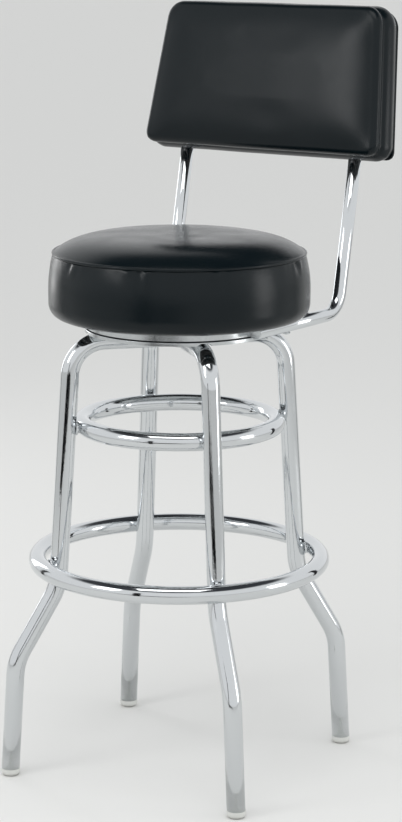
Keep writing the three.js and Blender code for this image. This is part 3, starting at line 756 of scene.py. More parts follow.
add_node(tree, "ShaderNodeOutputMaterial", inputs={"Surface": shader.outputs["BSDF"]})


def cut_away(piece, cutters):
    """Cuts one object by others, which are then removed, with all modifiers made real."""
    for cutter in cutters:
        cut = piece.modifiers.new("cut", "BOOLEAN")
        cut.operation = "DIFFERENCE"
        cut.solver = "EXACT"
        cut.object = cutter
    bpy.context.view_layer.update()
    settled = piece.evaluated_get(bpy.context.evaluated_depsgraph_get())
    mesh = bpy.data.meshes.new_from_object(settled)
    mesh.name = piece.name
    piece.modifiers.clear()
    piece.data = mesh
    for cutter in cutters:
        bpy.data.objects.remove(cutter)


def rod(name, middle, along, radius, length, sides=rail_sides):
    """A plain round or sided bar, used to cut with."""
    bm = bmesh.new()
    facing = along.to_track_quat("Z", "Y").to_matrix().to_4x4()
    bmesh.ops.create_cone(
        bm, cap_ends=True, segments=sides, radius1=radius, radius2=radius, depth=length,
        matrix=Matrix.Translation(middle) @ facing,
    )
    return finished(name, bm)


rim_round = arc(plate_radius - plate_edge_round, plate_top - plate_edge_round, plate_edge_round, 0, 90)
profile = [(0, plate_top - plate_sheet), (plate_radius - plate_sheet, plate_top - plate_sheet),
           (plate_radius - plate_sheet, plate_top - plate_rim), (plate_radius, plate_top - plate_rim)]
profile += [*rim_round, (0, plate_top)]
lower_plate = finished("lower_swivel_plate", turned(profile, steps=pan_steps), zinc)
crossing = Vector((0, 0, arch_height))
cross_along = polar(1, cross_angle(arch_height) + math.pi / 2, 0)
cut_away(lower_plate, [
    rod("arch_notch", crossing, arch_along, tube_notch / 2, plate_radius * 3),
    rod("cross_notch", crossing, cross_along, tube_notch / 2, plate_radius * 3),
])
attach(lower_plate, "base")
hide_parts("swivel_lower_plate")


# The ball bearing: two turned and hardened steel races with a round groove, ten steel balls,
# and a pressed cage that keeps them apart. It rolls at half the seat's turn.

ball_radius = 3.2 * mm
ball_count = 10
ball_circle = 42 * mm
race_width = 16 * mm
race_web = 1.5 * mm
race_land = 1.2 * mm
cage_width = 26 * mm
cage_sheet = 1.6 * mm
race_steps = 96
groove_steps = 14
ball_middle = plate_top + fit_gap + race_web + fit_gap + ball_radius
steel_colour = "#b9bcc0"
turning_mark = 0.9 * mm

# Turned and ground bearing steel: darker than chrome, with fine lines from the lathe.
bearing_steel, tree = new_material("ground_bearing_steel")
place = add_node(tree, "ShaderNodeTexCoord")
about_axis = add_node(tree, "ShaderNodeMapping", inputs={
    "Vector": place.outputs["Object"],
    "Location": -swivel_foot,
})
lathe_lines = add_node(tree, "ShaderNodeTexWave", {
    "wave_type": "RINGS",
    "rings_direction": "Z",
}, {
    "Vector": about_axis.outputs["Vector"],
    "Scale": 0.3 / turning_mark,
    "Distortion": 0.4,
    "Detail": 2,
})
roughness = add_node(tree, "ShaderNodeMapRange", inputs={
    "Value": lathe_lines.outputs["Fac"],
    "To Min": 0.14,
    "To Max": 0.28,
})
relief = add_node(tree, "ShaderNodeBump", inputs={
    "Height": lathe_lines.outputs["Fac"],
    "Strength": 0.1,
    "Distance": 0.05 * mm,
})
shader = add_node(tree, "ShaderNodeBsdfPrincipled", inputs={
    "Base Color": linear(steel_colour),
    "Metallic": 1,
    "Roughness": roughness.outputs["Result"],
    "Normal": relief.outputs["Normal"],
})
add_node(tree, "ShaderNodeOutputMaterial", inputs={"Surface": shader.outputs["BSDF"]})

groove = ball_radius + fit_gap
groove_half = math.degrees(math.acos(race_land / groove))
for word, side, body in [("lower", -1, "base"), ("upper", 1, "seat")]:
    back = ball_middle + side * (groove + race_web)
    face = ball_middle + side * race_land
    inner = ball_circle - race_width / 2
    outer = ball_circle + race_width / 2
    middle_angle = 90 * side
    profile = [(inner, back), (outer, back), (outer, face)]
    profile += arc(ball_circle, ball_middle, groove, middle_angle - side * groove_half,
                   middle_angle + side * groove_half, steps=groove_steps)
    profile += [(inner, face)]
    bm = turned(profile, steps=race_steps, closed=True)
    race = finished(f"{word}_bearing_race", bm, bearing_steel)
    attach(race, body)
    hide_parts(f"{word}_race")

inner = ball_circle - cage_width / 2
outer = ball_circle + cage_width / 2
low = ball_middle - cage_sheet / 2
high = ball_middle + cage_sheet / 2
profile = [(inner, low), (outer, low), (outer, high), (inner, high)]
cage = finished("bearing_cage", turned(profile, steps=race_steps, closed=True), zinc)
pockets = []
for number in range(ball_count):
    place = polar(ball_circle, 2 * math.pi * number / ball_count, ball_middle)
    pockets.append(rod(f"pocket_{number}", place, Vector((0, 0, 1)), groove, 3 * cage_sheet))
cut_away(cage, pockets)
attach(cage, "bearing")
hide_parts("ball_cage")

for number in range(ball_count):
    place = polar(ball_circle, 2 * math.pi * number / ball_count, ball_middle)
    bm = bmesh.new()
    bmesh.ops.create_icosphere(bm, subdivisions=3, radius=ball_radius, matrix=Matrix.Translation(place))
    ball = finished(f"bearing_ball_{number + 1}", bm, bearing_steel)
    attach(ball, "bearing")
    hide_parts(f"ball_{number + 1}")


# The pin stands on the lower plate and holds the dish of the upper plate down with a washer
# and a thin hexagon nut, so that the seat turns but can't be lifted off.

plate_sheet_upper = 2.5 * mm
upper_plate_low = ball_middle + groove + race_web + fit_gap
well_top = upper_plate_low + plate_sheet_upper
pin_radius = 6 * mm
pin_collar_radius = 12 * mm
pin_collar = 2.5 * mm
washer_radius = 12 * mm
washer_sheet = 1.2 * mm
nut_across = 19 * mm
nut_height = 3.2 * mm
washer_bottom = well_top + fit_gap
nut_bottom = washer_bottom + washer_sheet + fit_gap
pin_bottom = plate_top + fit_gap
pin_top = nut_bottom + nut_height
thread_pitch = 1.75 * mm
thread_depth = 0.5 * mm
thread_crest = 0.1
edge_break = 0.4 * mm

profile = [(0, pin_bottom), (pin_collar_radius - edge_break, pin_bottom),
           (pin_collar_radius, pin_bottom + edge_break),
           (pin_collar_radius, pin_bottom + pin_collar - edge_break),
           (pin_collar_radius - edge_break, pin_bottom + pin_collar),
           (pin_radius, pin_bottom + pin_collar), (pin_radius, well_top)]
thread_turns = int((pin_top - well_top) / thread_pitch)
for number in range(thread_turns):
    up = well_top + number * thread_pitch
    profile += [(pin_radius, up + thread_pitch * thread_crest),
                (pin_radius - thread_depth, up + thread_pitch / 2),
                (pin_radius, up + thread_pitch * (1 - thread_crest))]
profile += [(pin_radius, pin_top - edge_break), (pin_radius - edge_break, pin_top), (0, pin_top)]
pin = finished("centre_pin", turned(profile), bearing_steel)
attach(pin, "base")
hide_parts("swivel_pin")

bore = pin_radius + fit_gap
washer_upper = washer_bottom + washer_sheet
profile = [(bore, washer_bottom), (washer_radius, washer_bottom), (washer_radius, washer_upper),
           (bore, washer_upper)]
washer = finished("centre_washer", turned(profile, closed=True), zinc)
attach(washer, "base")
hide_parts("pin_washer")

bm = bmesh.new()
nut_corner = nut_across / math.sqrt(3)
bmesh.ops.create_cone(
    bm, cap_ends=True, segments=6, radius1=nut_corner, radius2=nut_corner, depth=nut_height,
    matrix=Matrix.Translation((0, 0, nut_bottom + nut_height / 2)),
)
bmesh.ops.bevel(
    bm, geom=bm.edges[:], affect="EDGES", offset=edge_break, segments=2, profile=0.5, material=-1,
)
nut = finished("centre_nut", bm, zinc)
nut_middle = Vector((0, 0, nut_bottom))
cut_away(nut, [rod("nut_bore", nut_middle, Vector((0, 0, 1)), pin_radius + fit_gap, 4 * nut_height)])
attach(nut, "base")
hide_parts("pin_nut")


# The swivel's upper plate: a zinc plated round pan, pressed from 2.5 mm sheet. The flat well in
# its middle rides on the bearing, its rim turns just over the lower plate, and four cross
# recessed screws hold it up to the seat board.

upper_plate_radius = 129 * mm
upper_plate_well = 54 * mm
upper_plate_slope = 8 * mm
upper_plate_depth = 7.9 * mm
upper_plate_gap = 1 * mm
upper_plate_high = upper_plate_low + upper_plate_depth
flange_low = upper_plate_high - plate_sheet_upper
screw_circle = 70 * mm
screw_head = 4.2 * mm
screw_head_height = 2 * mm
screw_shank = 2 * mm
screw_depth = 9 * mm
board_bottom = upper_plate_high + fit_gap
recess_arm = 0.9 * mm

well_mouth = upper_plate_well + upper_plate_slope - plate_sheet_upper / 2
well_floor = upper_plate_well - plate_sheet_upper / 2
rim_inside = upper_plate_radius - plate_sheet_upper
rim_low = plate_top + upper_plate_gap
rim_round = arc(upper_plate_radius - plate_edge_round, upper_plate_high - plate_edge_round,
                plate_edge_round, 0, 90)
profile = [(bore, upper_plate_low), (upper_plate_well, upper_plate_low),
           (upper_plate_well + upper_plate_slope, flange_low), (rim_inside, flange_low),
           (rim_inside, rim_low), (upper_plate_radius, rim_low)]
profile += [*rim_round, (well_mouth, upper_plate_high), (well_floor, well_top), (bore, well_top)]
upper_plate = finished("upper_swivel_plate", turned(profile, steps=pan_steps, closed=True), zinc)
screw_holes = []
for number in range(4):
    place = polar(screw_circle, math.pi / 4 + math.pi / 2 * number, flange_low)
    screw_holes.append(rod(f"screw_hole_{number}", place, Vector((0, 0, 1)), screw_shank + fit_gap,
                           4 * plate_sheet_upper))
cut_away(upper_plate, screw_holes)
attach(upper_plate, "seat")
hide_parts("swivel_upper_plate")


screw_dome_share = 0.6
screw_dome_steps = 6
screw_pitch_share = 0.6
screw_core_share = 0.78
screw_crest_share = 0.2
screw_root_share = 0.6
screw_steps = 32
recess_depth_share = 1.2
cross_length_share = 2.6


def domed_screw(name, head_radius, head_height, shank_radius, length, recess_sides, recess_width):
    """A screw standing on its head: a domed head with a recess, a threaded shank and a point.
    A recess with 6 sides is a socket, and one with 4 is a cross of two slots."""
    profile = [(0, 0)]
    for step in range(1, screw_dome_steps + 1):
        angle = math.pi / 2 * step / screw_dome_steps
        rise = head_height * screw_dome_share * (1 - math.cos(angle))
        profile.append((head_radius * math.sin(angle), rise))
    profile += [(head_radius, head_height), (shank_radius, head_height)]
    turns = max(int((length - head_height) / (shank_radius * screw_pitch_share)), 2)
    pitch = (length - shank_radius) / turns
    for number in range(turns):
        up = head_height + number * pitch
        profile += [(shank_radius, up + pitch * screw_crest_share),
                    (shank_radius * screw_core_share, up + pitch * screw_root_share)]
    profile += [(shank_radius, head_height + length - shank_radius), (0, head_height + length)]
    screw = finished(name, turned(profile, steps=screw_steps), zinc)
    screw.data.transform(Matrix.Translation(-swivel_foot))
    recess_depth = head_height * recess_depth_share
    cutters = []
    if recess_sides == 6:
        cutters.append(rod("socket", Vector((0, 0, 0)), Vector((0, 0, 1)), recess_width, recess_depth, 6))
    else:
        for turned_by in (0, math.pi / 2):
            bm = bmesh.new()
            bmesh.ops.create_cube(bm, size=1)
            size = (recess_width * cross_length_share, recess_width, recess_depth)
            bmesh.ops.scale(bm, vec=size, verts=bm.verts[:])
            bmesh.ops.rotate(bm, verts=bm.verts[:], matrix=Matrix.Rotation(turned_by, 3, "Z"))
            cutters.append(finished("cross_slot", bm))
    for cutter in cutters:
        cutter.data.transform(Matrix.Translation(-swivel_foot))
    cut_away(screw, cutters)
    return screw


for number in range(4):
    place = polar(screw_circle, math.pi / 4 + math.pi / 2 * number, flange_low - fit_gap - screw_head_height)
    screw = domed_screw(f"board_screw_{number + 1}", screw_head, screw_head_height, screw_shank,
                        screw_depth + plate_sheet_upper, 4, recess_arm)
    screw.data.transform(Matrix.Translation(swivel_foot + place))
    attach(screw, "seat")
    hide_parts(f"plate_screw_{number + 1}")


# The seat board: a disc of 12 mm birch plywood of seven plies, sawn round. Its underside shows
# inside the turned in edge of the cover, and is coloured a dull near black.

board_radius = 165 * mm
board_thick = 12 * mm
board_top = board_bottom + board_thick
ply_count = 7
board_edge = 0.5 * mm
face_veneer_colour = "#c9a473"
grain_colour = "#a67c4c"
glue_line_colour = "#7c5a37"
underside_black_colour = "#141516"
underside_black_share = 0.3
cross_ply_darkness = 0.55
grain_width = 3 * mm
grain_stretch = 14


def plywood_material(name, place_matrix, first_face, thickness, plies, black_underside=False):
    """Birch plywood: pale face veneers with soft long grain, and plies that show at the edge as
    stripes, every other one darker because it is cut across its grain. A board with a black
    underside is coloured near black on its first face, where the grain still shows as relief."""
    material, tree = new_material(name)
    place = add_node(tree, "ShaderNodeTexCoord")
    level = add_node(tree, "ShaderNodeMapping", inputs={
        "Vector": place.outputs["Object"],
        "Location": place_matrix.to_translation(),
        "Rotation": place_matrix.to_euler(),
    })
    split = add_node(tree, "ShaderNodeSeparateXYZ", inputs={"Vector": level.outputs["Vector"]})
    depth = add_node(tree, "ShaderNodeMapRange", {"clamp": False}, {
        "Value": split.outputs["Z"],
        "From Min": first_face,
        "From Max": first_face + thickness,
        "To Min": 0,
        "To Max": plies / 2,
    })
    along_plies = add_node(tree, "ShaderNodeMath", {"operation": "FRACT"}, {0: depth.outputs["Result"]})
    dark_ply = add_node(tree, "ShaderNodeMath", {"operation": "GREATER_THAN"}, {
        0: along_plies.outputs["Value"],
        1: 0.5,
    })
    stretched = add_node(tree, "ShaderNodeMapping", inputs={
        "Vector": level.outputs["Vector"],
        "Scale": (1 / grain_stretch, 1, 1),
    })
    grain = add_node(tree, "ShaderNodeTexNoise", inputs={
        "Vector": stretched.outputs["Vector"],
        "Scale": 1 / grain_width,
        "Detail": 6,
        "Roughness": 0.65,
    })
    face = add_node(tree, "ShaderNodeMix", {"data_type": "RGBA"}, {
        0: grain.outputs["Fac"],
        6: linear(face_veneer_colour),
        7: linear(grain_colour),
    })
    half_dark = add_node(tree, "ShaderNodeMath", {"operation": "MULTIPLY"}, {
        0: dark_ply.outputs["Value"],
        1: cross_ply_darkness,
    })
    colour = add_node(tree, "ShaderNodeMix", {"data_type": "RGBA"}, {
        0: half_dark.outputs["Value"],
        6: face.outputs[2],
        7: linear(glue_line_colour),
    })
    # Up to this depth from the first face, the board is coloured near black.
    blackened = add_node(tree, "ShaderNodeMath", {"operation": "LESS_THAN"}, {
        0: depth.outputs["Result"],
        1: underside_black_share if black_underside else -1,
    })
    underside_coloured = add_node(tree, "ShaderNodeMix", {"data_type": "RGBA"}, {
        0: blackened.outputs["Value"],
        6: colour.outputs[2],
        7: linear(underside_black_colour),
    })
    relief = add_node(tree, "ShaderNodeBump", inputs={
        "Height": grain.outputs["Fac"],
        "Strength": 0.3,
        "Distance": 0.3 * mm,
    })
    shader = add_node(tree, "ShaderNodeBsdfPrincipled", inputs={
        "Base Color": underside_coloured.outputs[2],
        "Roughness": 0.68,
        "Normal": relief.outputs["Normal"],
    })
    add_node(tree, "ShaderNodeOutputMaterial", inputs={"Surface": shader.outputs["BSDF"]})
    return material


seat_plywood = plywood_material(
    "birch_plywood", Matrix.Identity(4), board_bottom, board_thick, ply_count, black_underside=True)
profile = [(0, board_bottom), (board_radius - board_edge, board_bottom),
           (board_radius, board_bottom + board_edge), (board_radius, board_top - board_edge),
           (board_radius - board_edge, board_top), (0, board_top)]
board = finished("plywood_seat_disc", turned(profile, steps=128), seat_plywood)
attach(board, "seat")
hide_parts("seat_board")


# The posts: 3/4 inch chrome plated tube. An arm lies flat under the seat, then bends up and
# leans back to carry the padded back. Each arm is bolted up through the board.

post_tube = 19 * mm
post_wall = 1.5 * mm
post_radius = post_tube / 2
post_spacing = 288.6 * mm
post_bend = 36 * mm
post_lean = math.radians(11)
post_foot_depth = 181.1 * mm
post_length = 382 * mm
arm_front = -25 * mm
arm_height = board_bottom - fit_gap - post_radius
arm_bolt_front = -5 * mm
arm_bolt_pitch = 55 * mm
arm_bolt_head = 5.2 * mm
arm_bolt_head_height = 3 * mm
arm_bolt_shank = 3 * mm
arm_bolt_socket = 2.3 * mm
tee_nut_barrel = 4.6 * mm
tee_nut_flange = 9.5 * mm
tee_nut_sheet = 1.5 * mm
tee_nut_length = 10 * mm
plug_head = 2 * mm
plug_stem = 12 * mm
plug_edge = 0.8 * mm

up_post = Vector((0, math.sin(post_lean), math.cos(post_lean)))

bolt_number = 0
for word, side in [("left", -1), ("right", 1)]:
    x = side * post_spacing / 2
    foot = Vector((x, post_foot_depth, arm_height))
    front = Vector((x, arm_front, arm_height))
    bm, first, last = bent_tube([front, foot, foot + up_post * post_length], [post_bend], post_radius)
    post = finished(f"{word}_post_tube", bm, chrome)
    walled(post, post_wall)
    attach(post, "seat")
    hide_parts(f"post_{word}")

    stem = post_radius - post_wall - fit_gap
    profile = [(0, 0)] + arc(post_radius - plug_edge, plug_edge, plug_edge, -90, 0)
    profile += [(post_radius, plug_head), (stem, plug_head), (stem, plug_head + plug_stem),
                (0, plug_head + plug_stem)]
    bm = turned(profile)
    bmesh.ops.rotate(bm, verts=bm.verts[:], matrix=Matrix.Rotation(math.radians(-90), 3, "X"))
    bmesh.ops.translate(bm, verts=bm.verts[:], vec=(x, arm_front - plug_head - fit_gap, arm_height))
    plug = finished(f"{word}_arm_end_plug", bm, zinc)
    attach(plug, "seat")
    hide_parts(f"arm_plug_{word}")

    for y in (arm_bolt_front, arm_bolt_front + arm_bolt_pitch):
        bolt_number += 1
        under = arm_height - post_radius - fit_gap
        bolt = domed_screw(f"button_bolt_{bolt_number}", arm_bolt_head, arm_bolt_head_height,
                           arm_bolt_shank, board_top - under, 6, arm_bolt_socket)
        bolt.data.transform(Matrix.Translation(swivel_foot + Vector((x, y, under - arm_bolt_head_height))))
        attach(bolt, "seat")
        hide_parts(f"arm_bolt_{bolt_number}")

        flange_bottom = board_top + fit_gap
        bore = arm_bolt_shank + fit_gap
        profile = [(bore, flange_bottom - tee_nut_length), (tee_nut_barrel, flange_bottom - tee_nut_length),
                   (tee_nut_barrel, flange_bottom), (tee_nut_flange, flange_bottom),
                   (tee_nut_flange, flange_bottom + tee_nut_sheet), (bore, flange_bottom + tee_nut_sheet)]
        bm = turned(profile, steps=screw_steps, closed=True)
        bmesh.ops.translate(bm, verts=bm.verts[:], vec=(x, y, 0))
        tee_nut = finished(f"board_tee_nut_{bolt_number}", bm, zinc)
        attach(tee_nut, "seat")
        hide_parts(f"tee_nut_{bolt_number}")


# The seat cushion: foam on the board under a cover of black vinyl. The cover is a round top
# panel and a side band sewn together over a thin cord, drawn down and stapled under the board.

cover_under_board = 4.5 * mm
seat_bottom = board_bottom - fit_gap - cover_under_board
seat_widest = 180.8 * mm
seat_widest_height = seat_bottom + 38 * mm
seat_edge_round = 18 * mm
seat_lip_radius = 157 * mm
seat_lip_thick = 3 * mm
seat_lip_lift = 1.5 * mm
welt_radius = 173.4 * mm
welt_height = seat_bottom + 89.6 * mm
welt_cord = 2.3 * mm
seat_crown = 24 * mm
seat_crown_power = 6
seat_top_lift = 1 * mm
seat_grid = 64
band_rows = 22
band_row_power = 1.3
band_straight_share = 0.82
cloth_frames = 20
seam_groove = 2.5 * mm
seam_overlap = 0.5 * mm
seam_rings = 4
lip_rings = 2
gather_depth = 4.5 * mm
gather_peak = 5 * mm
gather_width = math.radians(9)
gather_pleats = 15
gather_pleat_height = 45 * mm
gather_rows = 7
gather_turns = (-125, -88, -54, -18, 14, 62, 97, 131, 172)
gather_places = [view_turn - math.pi / 2 + math.radians(turn) for turn in gather_turns]
seat_unevenness = 0.6 * mm
seat_unevenness_size = 110 * mm

# Expanded vinyl on a knitted backing: near black, embossed with a fine leather grain and with a
# satin finish, so broad reflections are soft and edges catch a bright line.
vinyl_colour = "#071115"
vinyl_grain = 1.3 * mm
vinyl_pore = 0.45 * mm
vinyl_pore_share = 0.25
vinyl_wear_size = 45 * mm

vinyl, tree = new_material("embossed_black_vinyl")
place = add_node(tree, "ShaderNodeTexCoord")
wander = add_node(tree, "ShaderNodeTexNoise", inputs={
    "Vector": place.outputs["Object"],
    "Scale": 1 / (3 * vinyl_grain),
    "Detail": 2,
})
wandering = add_node(tree, "ShaderNodeVectorMath", {"operation": "MULTIPLY_ADD"}, {
    0: wander.outputs["Color"],
    1: (vinyl_grain, vinyl_grain, vinyl_grain),
    2: place.outputs["Object"],
})
grain = add_node(tree, "ShaderNodeTexVoronoi", {"feature": "DISTANCE_TO_EDGE"}, {
    "Vector": wandering.outputs["Vector"],
    "Scale": 1 / vinyl_grain,
})
creases = add_node(tree, "ShaderNodeMapRange", {"interpolation_type": "SMOOTHSTEP"}, {
    "Value": grain.outputs["Distance"],
    "From Min": 0,
    "From Max": 0.22,
})
pores = add_node(tree, "ShaderNodeTexNoise", inputs={
    "Vector": place.outputs["Object"],
    "Scale": 1 / vinyl_pore,
    "Detail": 2,
})
surface = add_node(tree, "ShaderNodeMath", {"operation": "MULTIPLY_ADD"}, {
    0: pores.outputs["Fac"],
    1: vinyl_pore_share,
    2: creases.outputs["Result"],
})
relief = add_node(tree, "ShaderNodeBump", inputs={
    "Height": surface.outputs["Value"],
    "Strength": 0.22,
    "Distance": 0.09 * mm,
})
wear = add_node(tree, "ShaderNodeTexNoise", inputs={
    "Vector": place.outputs["Object"],
    "Scale": 1 / vinyl_wear_size,
    "Detail": 4,
})
roughness = add_node(tree, "ShaderNodeMapRange", inputs={
    "Value": wear.outputs["Fac"],
    "From Min": 0.3,
    "From Max": 0.7,
    "To Min": 0.19,
    "To Max": 0.26,
})
shader = add_node(tree, "ShaderNodeBsdfPrincipled", inputs={
    "Base Color": linear(vinyl_colour),
    "Roughness": roughness.outputs["Result"],
    "IOR": 1.5,
    "Specular IOR Level": 0.24,
    "Normal": relief.outputs["Normal"],
})
add_node(tree, "ShaderNodeOutputMaterial", inputs={"Surface": shader.outputs["BSDF"]})


def swell(piece, held, pressure, growth, grown, furthest, stiffness):
    """Fills a cover with cloth simulation. Held vertices stay put, grown ones get spare cloth
    that has to gather, and no vertex may move further than the given length."""
    for name, shares in (("held", held), ("grown", grown)):
        group = piece.vertex_groups.new(name=name)
        for index, amount in shares.items():
            group.add([index], amount, "REPLACE")
    cloth = piece.modifiers.new("cloth", "CLOTH")
    cloth.settings.quality = 8
    cloth.settings.tension_stiffness = 25
    cloth.settings.compression_stiffness = 12
    cloth.settings.shear_stiffness = 8
    cloth.settings.bending_stiffness = stiffness
    cloth.settings.use_pressure = True
    cloth.settings.uniform_pressure_force = pressure
    cloth.settings.vertex_group_mass = "held"
    cloth.settings.vertex_group_shrink = "grown"
    cloth.settings.shrink_max = -growth
    cloth.settings.effector_weights.gravity = 0
    cloth.collision_settings.use_collision = False
    cloth.point_cache.frame_start = 1
    cloth.point_cache.frame_end = cloth_frames
    for number in range(1, cloth_frames + 1):
        scene.frame_set(number)
    settled = piece.evaluated_get(bpy.context.evaluated_depsgraph_get())
    swollen = [vertex.co.copy() for vertex in settled.data.vertices]
    piece.modifiers.remove(cloth)
    piece.vertex_groups.clear()
    scene.frame_set(1)
    for vertex, place in zip(piece.data.vertices, swollen):
        move = place - vertex.co
        if move.length > furthest:
            move *= furthest / move.length
        vertex.co += move


def draw_smooth(piece):
    """Draws a padded cover with one level of smoothing."""
    smoothing = piece.modifiers.new("drawn_smooth", "SUBSURF")
    smoothing.levels = 1
    smoothing.render_levels = 1


def on_disc(x, y):
    """Takes a point of a square from -1 to 1 to a disc, so that square rings become circles."""
    if x == 0 and y == 0:
        return 0, 0
    if abs(x) > abs(y):
        out, angle = x, math.pi / 4 * y / x
    else:
        out, angle = y, math.pi / 2 - math.pi / 4 * x / y
    return out * math.cos(angle), out * math.sin(angle)


def crown_rise(share):
    """How high the top panel stands over its edge at a share of its radius."""
    return seat_crown * (1 - abs(share) ** seat_crown_power)


def band_point(share):
    """The side band's (radius, height), from the seam at 0 to the lip under the board at 1."""
    seam_out = welt_radius + seam_overlap
    seam_up = welt_height - seam_groove
    if share <= band_straight_share:
        down = share / band_straight_share
        up = seam_up + (seat_bottom + seat_edge_round - seam_up) * down
        rise = max((up - seat_widest_height) / (seam_up - seat_widest_height), 0)
        return seat_widest - (seat_widest - seam_out) * rise ** 2, up
    round_share = share_between(share, band_straight_share, 1)
    angle = math.pi / 2 * round_share
    middle = seat_widest - seat_edge_round
    return (middle + seat_edge_round * math.cos(angle),
            seat_bottom + seat_edge_round - seat_edge_round * math.sin(angle))


def gather(angle, down):
    """How far the spare cloth puckers out under the seam, in patches of short pleats."""
    patches = 0
    for place in gather_places:
        turn = math.remainder(angle - place, 2 * math.pi)
        patches += math.exp(-(turn / gather_width) ** 2)
    pleats = noise.noise(polar(gather_pleats, angle, down / gather_pleat_height))
    swelling = down / gather_peak * math.exp(1 - down / gather_peak)
    return gather_depth * patches * pleats * swelling


bm = bmesh.new()
bmesh.ops.create_grid(bm, x_segments=seat_grid, y_segments=seat_grid, size=1)
top_panel = bm.verts[:]
outer_ring = [vert for vert in bm.verts if vert.is_boundary]
for vert in bm.verts:
    x, y = on_disc(vert.co.x, vert.co.y)
    share = math.hypot(x, y)
    up = welt_height + seat_top_lift + crown_rise(share)
    vert.co = Vector((x * welt_radius, y * welt_radius, up))
loop = outer_ring
rows = [(welt_radius - seam_groove / 2, welt_height),
        (welt_radius - seam_groove / 2, welt_height - seam_groove / 2)]
rows += [band_point((row / band_rows) ** band_row_power) for row in range(band_rows + 1)]
rows.append((seat_lip_radius, seat_bottom + seat_lip_lift))
loops = [loop]
for out, up in rows:
    loop = extruded(bm, loop, Vector((0, 0, 0)))
    for vert in loop:
        vert.co = polar(out, math.atan2(vert.co.y, vert.co.x), up)
    loops.append(loop)
loop = extruded(bm, loop, Vector((0, 0, seat_lip_thick)))
bmesh.ops.recalc_face_normals(bm, faces=bm.faces[:])
bm.verts.index_update()
ring_indices = [[vert.index for vert in ring] for ring in loops]
held_rings = ring_indices[:seam_rings] + ring_indices[-lip_rings:]
held = {index: 1.0 for ring in held_rings for index in ring}
held.update({vert.index: 1.0 for vert in [*loop, *top_panel]})
grown = {}
for number, ring in enumerate(ring_indices[seam_rings:seam_rings + gather_rows]):
    for index in ring:
        grown[index] = 1 - number / gather_rows
uneven(bm, seat_unevenness_size, seat_unevenness)
cover = finished("vinyl_seat_cover", bm, vinyl)
swell(cover, held, pressure=1.2, growth=0.03, grown=grown, furthest=2.5 * mm, stiffness=0.5)
band_indices = [index for ring in ring_indices[seam_rings:] for index in ring]
for index in band_indices:
    point = cover.data.vertices[index].co
    from_axis = point - swivel_foot
    angle = math.atan2(from_axis.y, from_axis.x)
    point += polar(gather(angle, max(welt_height - point.z, 0)), angle, 0)
draw_smooth(cover)
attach(cover, "seat")
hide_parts("seat_cushion")

cord_sides = 12
cord_unevenness = 0.3 * mm
cord_unevenness_size = 30 * mm

bm = level_ring(welt_radius, welt_height, welt_cord, cord_sides, seat_grid * 4)
uneven(bm, cord_unevenness_size, cord_unevenness)
welt = finished("vinyl_seat_welt_cord", bm, vinyl)
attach(welt, "seat")
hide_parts("seat_welt")

# The cover's edge, turned in under the board in pleats and held by a ring of wire staples.
hem_inner = 143 * mm
hem_thick = 1.2 * mm
hem_pleats = 40
hem_pleat_depth = 2.2 * mm
hem_pleat_lift = 0.4 * mm
hem_wander = 3
hem_wander_size = 40 * mm
hem_overlap = 4 * mm
hem_outer = seat_lip_radius + hem_overlap
staple_count = 46
staple_radius = 150 * mm
staple_width = 10 * mm
staple_wire = 0.55 * mm
staple_skew = math.radians(25)
staple_skew_step = 7.3
staple_sink = 0.3
staple_height = board_bottom - hem_thick - staple_sink * staple_wire

profile = [(hem_inner, board_bottom - hem_thick), (hem_outer, board_bottom - hem_thick),
           (hem_outer, board_bottom - fit_gap / 2), (hem_inner, board_bottom - fit_gap / 2)]
bm = turned(profile, steps=seat_grid * 4, closed=True)
for vert in bm.verts:
    out = Vector((vert.co.x, vert.co.y, 0))
    angle = math.atan2(out.y, out.x)
    inner_share = share_between(out.length, hem_outer, hem_inner)
    fold = math.sin(hem_pleats * angle + hem_wander * noise.noise(out / hem_wander_size))
    vert.co += out.normalized() * fold * hem_pleat_depth * inner_share
    if vert.co.z < board_bottom - hem_thick / 2:
        vert.co.z += hem_pleat_lift * fold * inner_share
hem = finished("stapled_vinyl_hem", bm, vinyl)
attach(hem, "seat")

bm = bmesh.new()
for number in range(staple_count):
    angle = 2 * math.pi * number / staple_count
    skew = staple_skew * noise.noise(Vector((number * staple_skew_step, 0, 0)))
    across = Matrix.Rotation(angle + math.pi / 2 + skew, 4, "Z") @ Matrix.Rotation(math.pi / 2, 4, "Y")
    place = Matrix.Translation(polar(staple_radius, angle, staple_height)) @ across
    bmesh.ops.create_cone(
        bm, cap_ends=True, segments=8, radius1=staple_wire, radius2=staple_wire, depth=staple_width,
        matrix=place,
    )
staples = finished("wire_staples", bm, zinc)
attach(staples, "seat")


# The back board: 9.5 mm plywood cut to the back's outline and hidden inside the padding. Each
# post is screwed to its rear face with two pan head screws.

back_bottom = 219 * mm
back_height = 208 * mm
back_bottom_width = 399 * mm
back_top_width = 359 * mm
back_bottom_round = 12 * mm
back_top_round = 24 * mm
back_board_thick = 9.5 * mm
back_wall = 14 * mm
back_screw_low = 55 * mm
back_screw_pitch = 70 * mm
back_screw_head = 4.5 * mm
back_screw_head_height = 2.4 * mm
back_screw_shank = 2 * mm
back_screw_depth = 7 * mm
back_cell = 5 * mm
back_ply_count = 5
smallest_corner = 1 * mm

back_board_rear = -post_radius - fit_gap
back_board_front = back_board_rear - back_board_thick

# The back's own frame: X across, Y rearward from the middle of the posts and square to them,
# Z up the lean, from where the posts rise off the arms.
on_back = Matrix.Translation((0, post_foot_depth, arm_height)) @ Matrix.Rotation(-post_lean, 4, "X")


def back_half_width(up):
    return (back_bottom_width + (back_top_width - back_bottom_width) * up / back_height) / 2


